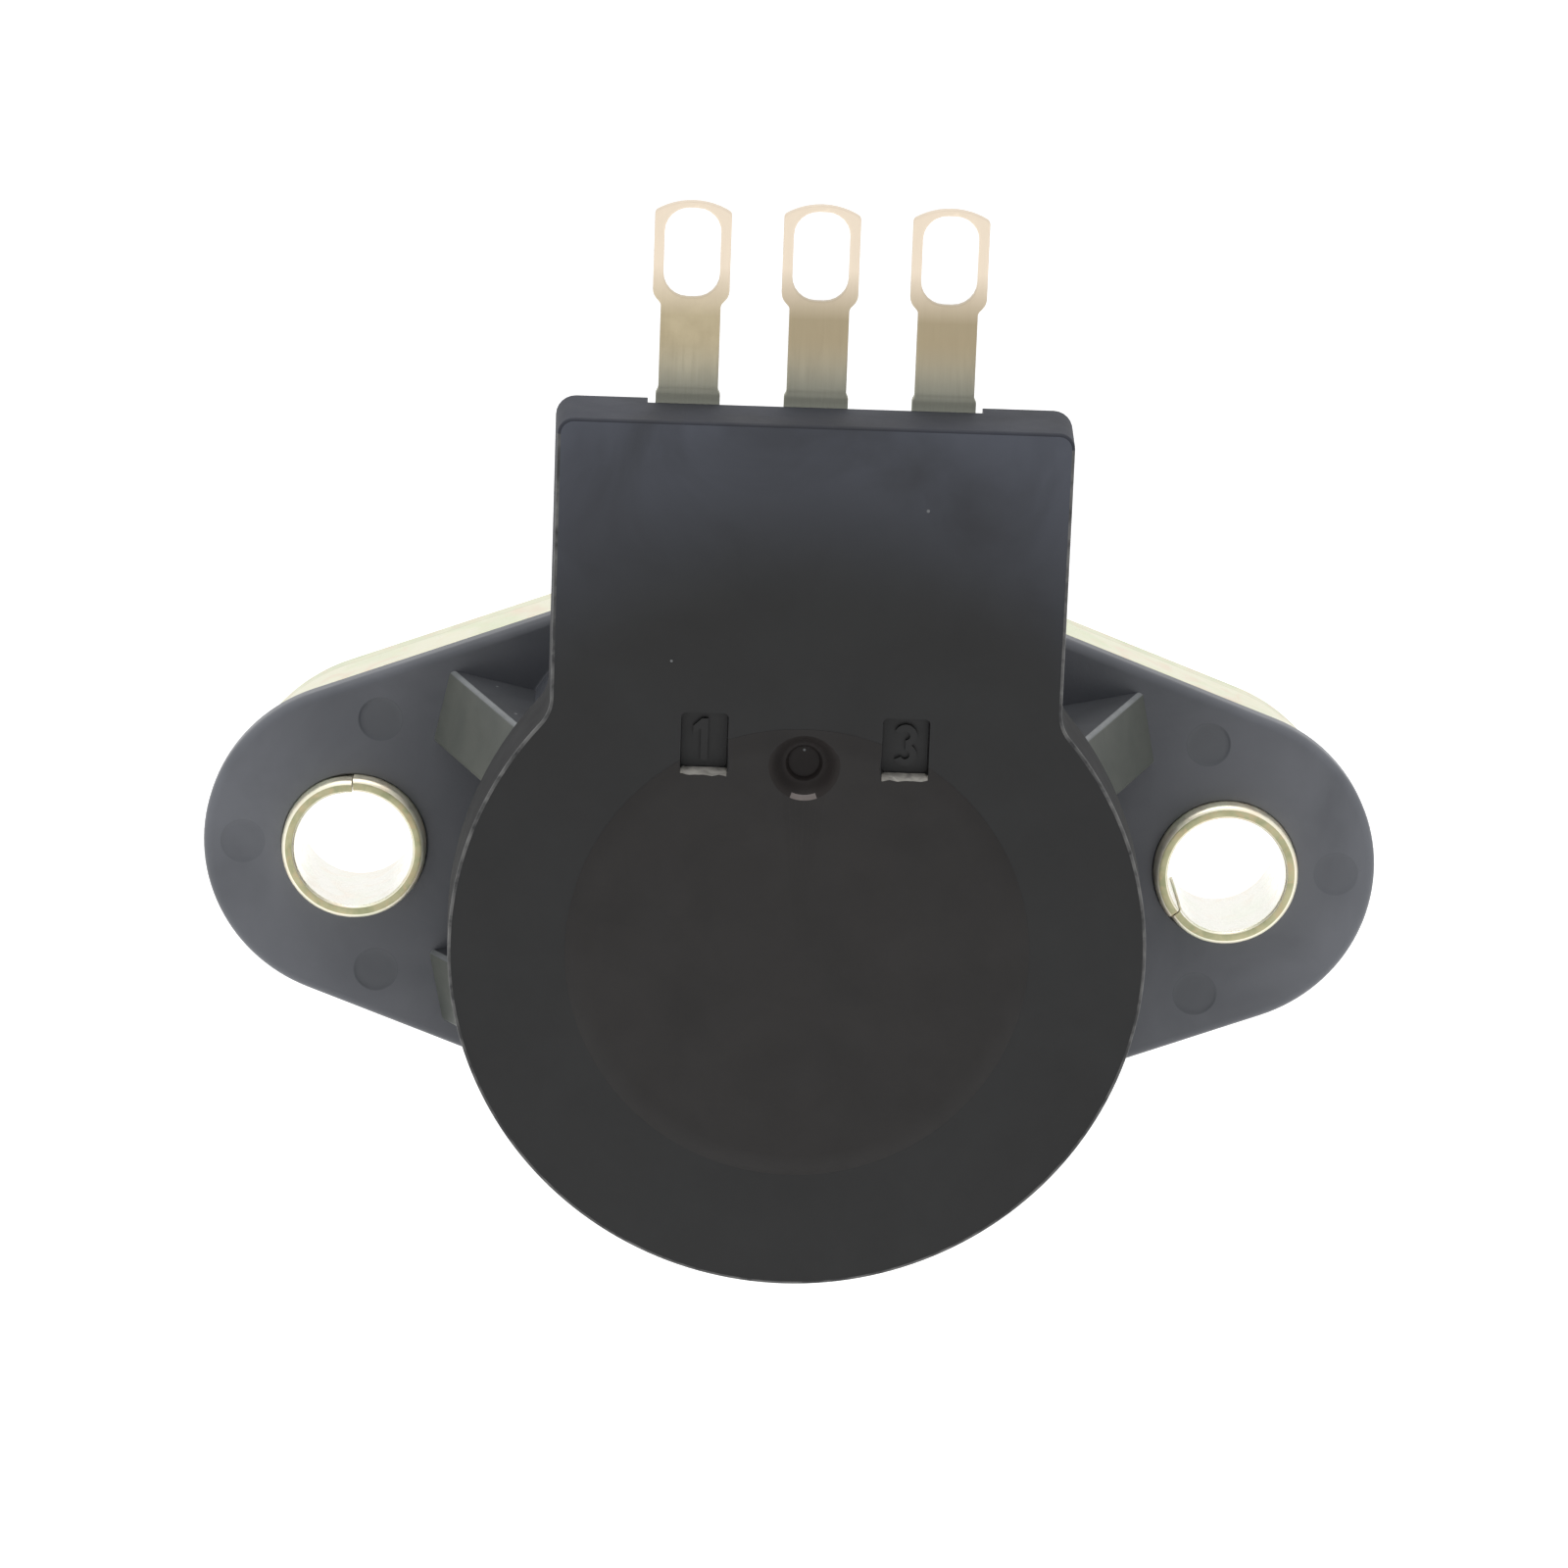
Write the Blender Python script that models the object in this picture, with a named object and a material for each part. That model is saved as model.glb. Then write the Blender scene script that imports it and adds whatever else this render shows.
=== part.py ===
"""Throttle potentiometer: a round moulded case on a two-eared flange, with three solder lugs on top.

The shaft lies along Y and points to +Y. The origin is where its axis meets the mounting plane, which
is the front face of the steel plate. The case lies behind that plane, and the lugs point to +Z.
All lengths are in metres, and an outline is a list of (x, z) points.
"""

import math

import bmesh
import bpy

MM = 0.001
FULL_TURN = 2.0 * math.pi
QUARTER_TURN = math.pi / 2.0

# Gap between pieces that seat on each other, and between the shaft and its bore
SEAT_GAP = 0.05 * MM
RUNNING_CLEARANCE = 0.06 * MM
# How far a joined or cut form reaches past the face that it starts from
OVERLAP = 0.6 * MM

# Steel plate and moulded flange
PLATE_THICKNESS = 3.7 * MM
PLATE_EDGE = 0.12 * MM
FLANGE_THICKNESS = 1.1 * MM
FLANGE_EDGE = 0.3 * MM
FLANGE_LIP = 0.2 * MM
EAR_OFFSET = 18.0 * MM
EAR_RADIUS = 6.9 * MM
PLATE_EAR_SHIFT = 1.5 * MM
HOLE_SHIFT = 0.5 * MM

# Rolled collars in the screw holes
COLLAR_RADIUS = 3.05 * MM
COLLAR_WALL = 0.55 * MM
COLLAR_STAND = 0.8 * MM
COLLAR_SETBACK = 0.3 * MM
COLLAR_SPLIT = 0.25 * MM
COLLAR_CHAMFER = 0.15 * MM
LEFT_SPLIT_ANGLE = math.radians(92.0)
RIGHT_SPLIT_ANGLE = math.radians(220.0)

# Cover with its terminal block
COVER_RADIUS = 14.0 * MM
COVER_THICKNESS = 4.0 * MM
COVER_EDGE = 0.25 * MM
COVER_DRAFT = 0.15 * MM
COVER_OVERHANG = 1.0 * MM
COVER_FLOOR = 1.6 * MM
POCKET_LEDGE = 0.9 * MM
BLOCK_WIDTH = 20.3 * MM
BLOCK_TOP = 21.56 * MM
BLOCK_CORNER = 0.65 * MM
NECK_FILLET = 1.6 * MM
LABEL_RADIUS = 9.3 * MM
LABEL_RISE = 0.25 * MM
LABEL_CHAMFER = 0.08 * MM
DIMPLE_HEIGHT = 7.87 * MM
DIMPLE_RADIUS = 1.35 * MM
DIMPLE_DEPTH = 0.5 * MM
GATE_RADIUS = 0.6 * MM
GATE_DEPTH = 0.4 * MM

# Windows with raised terminal numbers
WINDOW_OFFSET = 4.0 * MM
WINDOW_HEIGHT = 8.67 * MM
WINDOW_WIDTH = 1.9 * MM
WINDOW_TALL = 2.4 * MM
WINDOW_DEPTH = 0.6 * MM
NUMBER_TALL = 1.7 * MM
NUMBER_WIDTH = 1.0 * MM
NUMBER_STROKE = 0.3 * MM
NUMBER_RISE = 0.25 * MM

# Cup behind the flange
CUP_WALL = 1.8 * MM
ELEMENT_LEDGE = 0.8 * MM
GUSSET_ROOT_ANGLE = math.radians(25.0)
GUSSET_LEAN = math.radians(12.0)
GUSSET_REACH = 3.2 * MM
GUSSET_HEIGHT = 7.0 * MM
GUSSET_WIDTH = 3.2 * MM
MARK_RADIUS = 0.9 * MM
MARK_DEPTH = 0.08 * MM
MARK_INSET = 1.4 * MM
MARK_SHIFT = 1.0 * MM

# Travel stops, a post in the cup and a finger on the carrier
POST_ANGLE = math.radians(28.0)
FINGER_ANGLE = math.radians(29.0)
STOP_DEPTH = 3.0 * MM
STOP_GAP = 1.3 * MM

# Bush, shaft and what holds it
SHAFT_RADIUS = 3.0 * MM
SHAFT_LENGTH = 14.0 * MM
SHAFT_CHAMFER = 0.4 * MM
FLAT_LENGTH = 8.0 * MM
FLAT_DEPTH = 1.2 * MM
TAIL_SHRINK = 0.5 * MM
TAIL_FLAT_DEPTH = 0.6 * MM
BUSH_WALL = 1.5 * MM
BUSH_TAIL = 2.0 * MM
BUSH_LIP = 0.7 * MM
BUSH_LIP_THICKNESS = 0.7 * MM
BUSH_CHAMFER = 0.25 * MM
PILOT_RADIUS = 6.0 * MM
PILOT_HEIGHT = 1.8 * MM
RING_SECTION = 0.55 * MM
RING_HEIGHT = 0.6 * MM
WASHER_WIDTH = 1.8 * MM
WASHER_PLAY = 0.15 * MM
THRUST_THICKNESS = 0.4 * MM
WAVE_THICKNESS = 0.3 * MM
WAVE_HEIGHT = 0.2 * MM
WAVE_COUNT = 3
CLIP_THICKNESS = 0.6 * MM
CLIP_BITE = 0.6 * MM
CLIP_REACH = 1.4 * MM
CLIP_OPENING = math.radians(70.0)

# Carrier and wiper
HUB_CLEARANCE = 0.25 * MM
HUB_LENGTH = 1.4 * MM
HUB_WALL = 2.1 * MM
DISC_THICKNESS = 1.6 * MM
DISC_CLEARANCE = 0.6 * MM
NOSE_WALL = 0.65 * MM
NOSE_LENGTH = 0.6 * MM
WIPER_SPACE = 2.35 * MM
WIPER_THICKNESS = 0.2 * MM
WIPER_BASE_NEAR = 3.6 * MM
WIPER_BASE_WIDTH = 2.4 * MM
WIPER_BASE_MARGIN = 0.85 * MM
WIPER_TIP_GAP = 0.06 * MM
WIPER_TIP_LENGTH = 0.45 * MM
FINGER_WIDTH = 0.55 * MM
FINGER_PITCH = 0.85 * MM
PEG_RADIUS = 0.5 * MM
PEG_HEAD_RADIUS = 0.85 * MM
PEG_HEAD_HEIGHT = 0.35 * MM

# Element: laminate disc with a carbon horseshoe and a silver ring
SUBSTRATE_THICKNESS = 0.8 * MM
TRACK_THICKNESS = 0.12 * MM
TRACK_WIDTH = 2.0 * MM
TRACK_INSET = 3.6 * MM
RING_INSET = 3.0 * MM
RING_WIDTH = 1.6 * MM
LEAD_WIDTH = 1.4 * MM
LEAD_MARGIN = 0.15 * MM
LEAD_FILLET = 0.4 * MM
PAD_ANGLE = math.radians(6.0)

# Terminals and their rivets
TERMINAL_PITCH = 5.08 * MM
TERMINAL_THICKNESS = 0.45 * MM
BLADE_WIDTH = 2.55 * MM
SHANK_WIDTH = 2.37 * MM
HEAD_WIDTH = 3.03 * MM
HEAD_HEIGHT = 3.75 * MM
HEAD_CROWN = 0.43 * MM
SHOULDER_HEIGHT = 0.35 * MM
LUG_HEIGHT = 8.19 * MM
CRANK_START = 0.15 * MM
CRANK_HEIGHT = 0.55 * MM
CRANK_STEP = 0.1 * MM
EYE_WIDTH = 2.28 * MM
EYE_TALL = 3.55 * MM
EYE_CORNER = 0.95 * MM
EYE_TOP_WALL = 0.27 * MM
JOG_HEIGHT = 0.9 * MM
RECESS_DEPTH = 0.9 * MM
RECESS_MARGIN = 0.3 * MM
RIVET_RADIUS = 0.5 * MM
RIVET_HEAD_RADIUS = 0.85 * MM
RIVET_HEAD_HEIGHT = 0.3 * MM
RIVET_MARGIN = 0.2 * MM
SEAL_SETBACK = 1.0 * MM
SEAL_LIFT = 0.3 * MM

# How many flats stand for a full circle of each size
LARGE_STEPS = 72
MIDDLE_STEPS = 36
SMALL_STEPS = 16
SECTION_STEPS = 8
# How many flats stand for each longer or shorter arc
TRACK_STEPS = 40
CLIP_STEPS = 32
EAR_STEPS = 18
LUG_STEPS = 8
STOP_STEPS = 6
CORNER_STEPS = 4

# Angles between faces from which an edge is drawn sharp, and is rounded
SHARP_ANGLE = math.radians(32.0)
ROUNDED_ANGLE = math.radians(60.0)

# Places along the shaft, from the mounting plane to the rear
PLATE_REAR = -PLATE_THICKNESS
FLANGE_FRONT = PLATE_REAR - SEAT_GAP
FLANGE_REAR = FLANGE_FRONT - FLANGE_THICKNESS
BUSH_REAR = FLANGE_REAR - BUSH_TAIL
THRUST_REAR = BUSH_REAR - SEAT_GAP - THRUST_THICKNESS
WAVE_MIDDLE = THRUST_REAR - SEAT_GAP - WAVE_HEIGHT - WAVE_THICKNESS / 2.0
WAVE_REAR = WAVE_MIDDLE - WAVE_HEIGHT - WAVE_THICKNESS / 2.0
CLIP_FRONT = WAVE_REAR - SEAT_GAP
CLIP_REAR = CLIP_FRONT - CLIP_THICKNESS
HUB_FRONT = CLIP_REAR - HUB_CLEARANCE
DISC_FRONT = HUB_FRONT - HUB_LENGTH
DISC_REAR = DISC_FRONT - DISC_THICKNESS
TRACK_FACE = DISC_REAR - WIPER_SPACE
ELEMENT_FRONT = TRACK_FACE - TRACK_THICKNESS - SEAT_GAP
ELEMENT_REAR = ELEMENT_FRONT - SUBSTRATE_THICKNESS
COVER_FRONT = ELEMENT_REAR - SEAT_GAP
COVER_REAR = COVER_FRONT - COVER_THICKNESS
CUP_REAR = COVER_FRONT + SEAT_GAP
TAIL_FRONT = CLIP_REAR - HUB_CLEARANCE / 2.0
TAIL_REAR = DISC_REAR - NOSE_LENGTH

# Radii and places that several pieces share
CUP_RADIUS = COVER_RADIUS - COVER_OVERHANG
CAVITY_RADIUS = CUP_RADIUS - CUP_WALL
MOUTH_RADIUS = CAVITY_RADIUS + ELEMENT_LEDGE
HUB_RADIUS = CUP_RADIUS + FLANGE_LIP
HOLE_OFFSET = EAR_OFFSET + HOLE_SHIFT
PLATE_EAR_OFFSET = EAR_OFFSET - PLATE_EAR_SHIFT
PLATE_EAR_RADIUS = HUB_RADIUS - (HUB_RADIUS - EAR_RADIUS) * PLATE_EAR_OFFSET / EAR_OFFSET
BUSH_RADIUS = SHAFT_RADIUS + BUSH_WALL
TAIL_RADIUS = SHAFT_RADIUS - TAIL_SHRINK
DISC_RADIUS = CAVITY_RADIUS - DISC_CLEARANCE
TRACK_RADIUS = CAVITY_RADIUS - TRACK_INSET
RING_RADIUS = TRACK_RADIUS - RING_INSET
RIVET_CIRCLE = CAVITY_RADIUS - RIVET_HEAD_RADIUS - RIVET_MARGIN
RIVET_BORE = RIVET_RADIUS + SEAT_GAP
LEAD_END = CAVITY_RADIUS - LEAD_MARGIN
PEG_X = -(WIPER_BASE_NEAR + WIPER_BASE_WIDTH / 2.0)
PEG_BORE = PEG_RADIUS + SEAT_GAP


def linear_colour(code):
    """Turn an sRGB hex code into the linear values that a shader takes."""
    channels = []
    for start in (0, 2, 4):
        value = int(code[start:start + 2], 16) / 255.0
        low = value / 12.92
        high = ((value + 0.055) / 1.055) ** 2.4
        channels.append(low if value <= 0.04045 else high)
    return (*channels, 1.0)


def add_material(name, code, roughness, metallic=0.0):
    """Make a plain Principled material from an sRGB hex code."""
    material = bpy.data.materials.new(name)
    material.use_nodes = True
    shader = material.node_tree.nodes["Principled BSDF"]
    shader.inputs["Base Color"].default_value = linear_colour(code)
    shader.inputs["Roughness"].default_value = roughness
    shader.inputs["Metallic"].default_value = metallic
    material.diffuse_color = linear_colour(code)
    return material


def arc(radius, start, end, steps, x=0.0, z=0.0):
    """List the points of an arc from one angle to another, both ends included."""
    points = []
    for step in range(steps + 1):
        angle = start + (end - start) * step / steps
        points.append((x + radius * math.cos(angle), z + radius * math.sin(angle)))
    return points


def circle(radius, steps, x=0.0, z=0.0):
    """List the corners of a round outline."""
    return arc(radius, 0.0, FULL_TURN, steps, x, z)[:-1]


def rectangle(x_low, x_high, z_low, z_high):
    """List the corners of an upright rectangle."""
    return [(x_low, z_low), (x_high, z_low), (x_high, z_high), (x_low, z_high)]


def sector(inner, outer, middle, width, steps):
    """List the outline of a ring's sector, centred on one angle."""
    start = middle - width / 2.0
    end = middle + width / 2.0
    return arc(outer, start, end, steps) + arc(inner, end, start, steps)


def keyhole(radius, half_width, top, corner, fillet, steps):
    """List the outline of a disc with a square block on top, its corners rounded, its neck filleted."""
    neck_x = half_width + fillet
    neck_z = math.sqrt((radius + fillet) ** 2 - neck_x ** 2)
    meet = math.atan2(neck_z, neck_x)
    points = arc(radius, math.pi - meet, FULL_TURN + meet, steps)
    points += arc(fillet, math.pi + meet, math.pi, CORNER_STEPS, neck_x, neck_z)[1:]
    points += arc(corner, 0.0, QUARTER_TURN, CORNER_STEPS, half_width - corner, top - corner)
    points += arc(corner, QUARTER_TURN, math.pi, CORNER_STEPS, corner - half_width, top - corner)
    points += arc(fillet, 0.0, -meet, CORNER_STEPS, -neck_x, neck_z)[:-1]
    return points


def add_bridge(bm, near, far):
    """Add the solid between two matching outlines of (x, y, z) points to a mesh."""
    near = [bm.verts.new(place) for place in near]
    far = [bm.verts.new(place) for place in far]
    bm.faces.new(near)
    bm.faces.new(far[::-1])
    for index in range(len(near)):
        bm.faces.new((near[index], near[index - 1], far[index - 1], far[index]))


def add_prism(bm, outline, y_low, y_high):
    """Add an outline, extruded along Y, to a mesh."""
    add_bridge(bm, [(x, y_low, z) for x, z in outline], [(x, y_high, z) for x, z in outline])


def add_turning(bm, profile, steps, start=0.0, sweep=FULL_TURN):
    """Add a closed loop of (radius, y) points, turned about the Y axis, to a mesh."""
    whole = sweep >= FULL_TURN
    shared = {}
    for index, (radius, y) in enumerate(profile):
        if radius == 0.0:
            shared[index] = bm.verts.new((0.0, y, 0.0))
    columns = []
    for step in range(steps if whole else steps + 1):
        angle = start + sweep * step / steps
        column = []
        for index, (radius, y) in enumerate(profile):
            if index in shared:
                column.append(shared[index])
            else:
                place = (radius * math.cos(angle), y, radius * math.sin(angle))
                column.append(bm.verts.new(place))
        columns.append(column)
    for step in range(steps):
        near = columns[step]
        far = columns[(step + 1) % len(columns)]
        for index in range(len(profile)):
            loop = [near[index], near[index - 1], far[index - 1], far[index]]
            corners = list(dict.fromkeys(loop))
            if len(corners) > 2:
                bm.faces.new(corners)
    if not whole:
        bm.faces.new(columns[0])
        bm.faces.new(columns[-1][::-1])


def add_object(name, bm, material, parent, place=(0.0, 0.0, 0.0)):
    """Close a mesh and add it to the scene as one named piece."""
    bmesh.ops.recalc_face_normals(bm, faces=bm.faces[:])
    mesh = bpy.data.meshes.new(name)
    bm.to_mesh(mesh)
    bm.free()
    mesh.shade_smooth()
    mesh.set_sharp_from_angle(angle=SHARP_ANGLE)
    mesh.materials.append(material)
    piece = bpy.data.objects.new(name, mesh)
    piece.location = place
    piece.parent = parent
    bpy.context.scene.collection.objects.link(piece)
    return piece


def add_tool(name, bm, parent, place=(0.0, 0.0, 0.0)):
    """Add a form that only cuts or extends another piece."""
    bmesh.ops.recalc_face_normals(bm, faces=bm.faces[:])
    mesh = bpy.data.meshes.new(name)
    bm.to_mesh(mesh)
    bm.free()
    tool = bpy.data.objects.new(name, mesh)
    tool.location = place
    tool.parent = parent
    tool.hide_render = True
    tool.display_type = "WIRE"
    bpy.context.scene.collection.objects.link(tool)
    return tool


def combine(piece, tool, operation):
    """Cut a tool out of a piece, or join it to the piece."""
    modifier = piece.modifiers.new(tool.name, "BOOLEAN")
    modifier.object = tool
    modifier.operation = operation
    modifier.solver = "EXACT"


def round_edges(piece, width, segments):
    """Round the sharp edges of a piece."""
    modifier = piece.modifiers.new("rounded_edges", "BEVEL")
    modifier.width = width
    modifier.segments = segments
    modifier.limit_method = "ANGLE"
    modifier.angle_limit = ROUNDED_ANGLE


def flange_outline(ear_offset, ear_radius):
    """List the outline of two ears that run in straight tangents to a round middle."""
    tangent = math.acos((HUB_RADIUS - ear_radius) / ear_offset)
    points = arc(ear_radius, -tangent, tangent, EAR_STEPS, ear_offset)
    points += arc(HUB_RADIUS, tangent, math.pi - tangent, LUG_STEPS)
    points += arc(ear_radius, math.pi - tangent, math.pi + tangent, EAR_STEPS, -ear_offset)
    points += arc(HUB_RADIUS, math.pi + tangent, FULL_TURN - tangent, LUG_STEPS)
    return points


def rivet_places():
    """List the (x, z) places of the three rivets, from left to right."""
    outer = math.sqrt(RIVET_CIRCLE ** 2 - TERMINAL_PITCH ** 2)
    return [(-TERMINAL_PITCH, outer), (0.0, RIVET_CIRCLE), (TERMINAL_PITCH, outer)]


def add_mounting_plate(material, parent):
    """Steel plate with ears a little shorter than the flange's, a hole for the bush and two for screws."""
    bm = bmesh.new()
    add_prism(bm, flange_outline(PLATE_EAR_OFFSET, PLATE_EAR_RADIUS), PLATE_REAR, 0.0)
    plate = add_object("mounting_plate", bm, material, parent)
    round_edges(plate, PLATE_EDGE, 1)
    bm = bmesh.new()
    add_prism(bm, circle(PILOT_RADIUS + SEAT_GAP, MIDDLE_STEPS), PLATE_REAR - OVERLAP, OVERLAP)
    for side in (-1.0, 1.0):
        hole = circle(COLLAR_RADIUS + SEAT_GAP, MIDDLE_STEPS, side * HOLE_OFFSET)
        add_prism(bm, hole, PLATE_REAR - OVERLAP, OVERLAP)
    combine(plate, add_tool("plate_holes", bm, parent), "DIFFERENCE")


def add_gussets(bm):
    """Add the four sloped gussets between the ears and the cup's wall."""
    slope = GUSSET_HEIGHT / GUSSET_REACH
    side_view = [
        (-OVERLAP, FLANGE_REAR + OVERLAP),
        (GUSSET_REACH + OVERLAP / slope, FLANGE_REAR + OVERLAP),
        (-OVERLAP, FLANGE_REAR - GUSSET_HEIGHT - OVERLAP * slope),
    ]
    root_x = CUP_RADIUS * math.cos(GUSSET_ROOT_ANGLE)
    root_z = CUP_RADIUS * math.sin(GUSSET_ROOT_ANGLE)
    along_x = math.cos(GUSSET_LEAN)
    along_z = math.sin(GUSSET_LEAN)
    for side in (-1.0, 1.0):
        for up in (-1.0, 1.0):
            faces = []
            for across in (-GUSSET_WIDTH / 2.0, GUSSET_WIDTH / 2.0):
                face = []
                for reach, y in side_view:
                    x = root_x + along_x * reach - along_z * across
                    z = root_z + along_z * reach + along_x * across
                    face.append((side * x, y, up * z))
                faces.append(face)
            add_bridge(bm, *faces)


def add_housing(material, parent):
    """Moulded flange and cup in one piece, open at the rear, with the travel post inside."""
    bm = bmesh.new()
    add_prism(bm, flange_outline(EAR_OFFSET, EAR_RADIUS), FLANGE_REAR, FLANGE_FRONT)
    housing = add_object("housing", bm, material, parent)
    round_edges(housing, FLANGE_EDGE, 2)

    bm = bmesh.new()
    add_prism(bm, circle(CUP_RADIUS, LARGE_STEPS), CUP_REAR, FLANGE_REAR + OVERLAP)
    combine(housing, add_tool("cup_wall", bm, parent), "UNION")

    bm = bmesh.new()
    add_gussets(bm)
    combine(housing, add_tool("gussets", bm, parent), "UNION")

    bm = bmesh.new()
    bore = BUSH_RADIUS + SEAT_GAP
    ledge = ELEMENT_FRONT + SEAT_GAP
    add_turning(bm, [
        (0.0, FLANGE_FRONT + OVERLAP),
        (bore, FLANGE_FRONT + OVERLAP),
        (bore, FLANGE_REAR),
        (CAVITY_RADIUS, FLANGE_REAR),
        (CAVITY_RADIUS, ledge),
        (MOUTH_RADIUS, ledge),
        (MOUTH_RADIUS, CUP_REAR - OVERLAP),
        (0.0, CUP_REAR - OVERLAP),
    ], LARGE_STEPS)
    for side in (-1.0, 1.0):
        hole = circle(COLLAR_RADIUS + SEAT_GAP, MIDDLE_STEPS, side * HOLE_OFFSET)
        add_prism(bm, hole, FLANGE_REAR - OVERLAP, FLANGE_FRONT + OVERLAP)
    combine(housing, add_tool("housing_cuts", bm, parent), "DIFFERENCE")

    bm = bmesh.new()
    rise = EAR_RADIUS - MARK_INSET
    land_middle = (HOLE_OFFSET + COLLAR_RADIUS + EAR_OFFSET + EAR_RADIUS) / 2.0
    for side in (-1.0, 1.0):
        for x, z in (
            (HOLE_OFFSET - MARK_SHIFT, rise),
            (HOLE_OFFSET - MARK_SHIFT, -rise),
            (land_middle, 0.0),
        ):
            mark = circle(MARK_RADIUS, SMALL_STEPS, side * x, z)
            add_prism(bm, mark, FLANGE_REAR - OVERLAP, FLANGE_REAR + MARK_DEPTH)
    combine(housing, add_tool("ejector_marks", bm, parent), "DIFFERENCE")

    bm = bmesh.new()
    post = sector(
        CAVITY_RADIUS - STOP_DEPTH, CAVITY_RADIUS + OVERLAP, -QUARTER_TURN, POST_ANGLE, STOP_STEPS
    )
    add_prism(bm, post, DISC_FRONT + STOP_GAP, FLANGE_REAR + OVERLAP)
    combine(housing, add_tool("stop_post", bm, parent), "UNION")


def add_collar(name, side, split_angle, material, parent):
    """Sleeve rolled from strip, with chamfered rims and a narrow split, through plate and flange."""
    inner = COLLAR_RADIUS - COLLAR_WALL
    front = -COLLAR_SETBACK
    rear = FLANGE_REAR - COLLAR_STAND
    opening = COLLAR_SPLIT / COLLAR_RADIUS
    bm = bmesh.new()
    add_turning(bm, [
        (inner + COLLAR_CHAMFER, front),
        (COLLAR_RADIUS - COLLAR_CHAMFER, front),
        (COLLAR_RADIUS, front - COLLAR_CHAMFER),
        (COLLAR_RADIUS, rear + COLLAR_CHAMFER),
        (COLLAR_RADIUS - COLLAR_CHAMFER, rear),
        (inner + COLLAR_CHAMFER, rear),
        (inner, rear + COLLAR_CHAMFER),
        (inner, front - COLLAR_CHAMFER),
    ], MIDDLE_STEPS, split_angle + opening / 2.0, FULL_TURN - opening)
    add_object(name, bm, material, parent, (side * HOLE_OFFSET, 0.0, 0.0))


def number_one(x, z):
    """List the outline of a plain figure one, centred on a point."""
    stroke = NUMBER_STROKE / 2.0
    top = z + NUMBER_TALL / 2.0
    bottom = z - NUMBER_TALL / 2.0
    return [
        (x - stroke, bottom),
        (x + stroke, bottom),
        (x + stroke, top),
        (x - stroke, top),
        (x - 3.0 * stroke, top - 2.0 * stroke),
        (x - 3.0 * stroke, top - 4.0 * stroke),
        (x - stroke, top - 3.0 * stroke),
    ]


def number_three(x, z):
    """List the outline of a plain, square figure three, centred on a point."""
    stroke = NUMBER_STROKE
    left = x - NUMBER_WIDTH / 2.0
    right = x + NUMBER_WIDTH / 2.0
    top = z + NUMBER_TALL / 2.0
    bottom = z - NUMBER_TALL / 2.0
    bar = right - stroke
    half = stroke / 2.0
    return [
        (left, bottom), (right, bottom), (right, top), (left, top),
        (left, top - stroke), (bar, top - stroke),
        (bar, z + half), (left + stroke, z + half),
        (left + stroke, z - half), (bar, z - half),
        (bar, bottom + stroke), (left, bottom + stroke),
    ]


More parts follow.
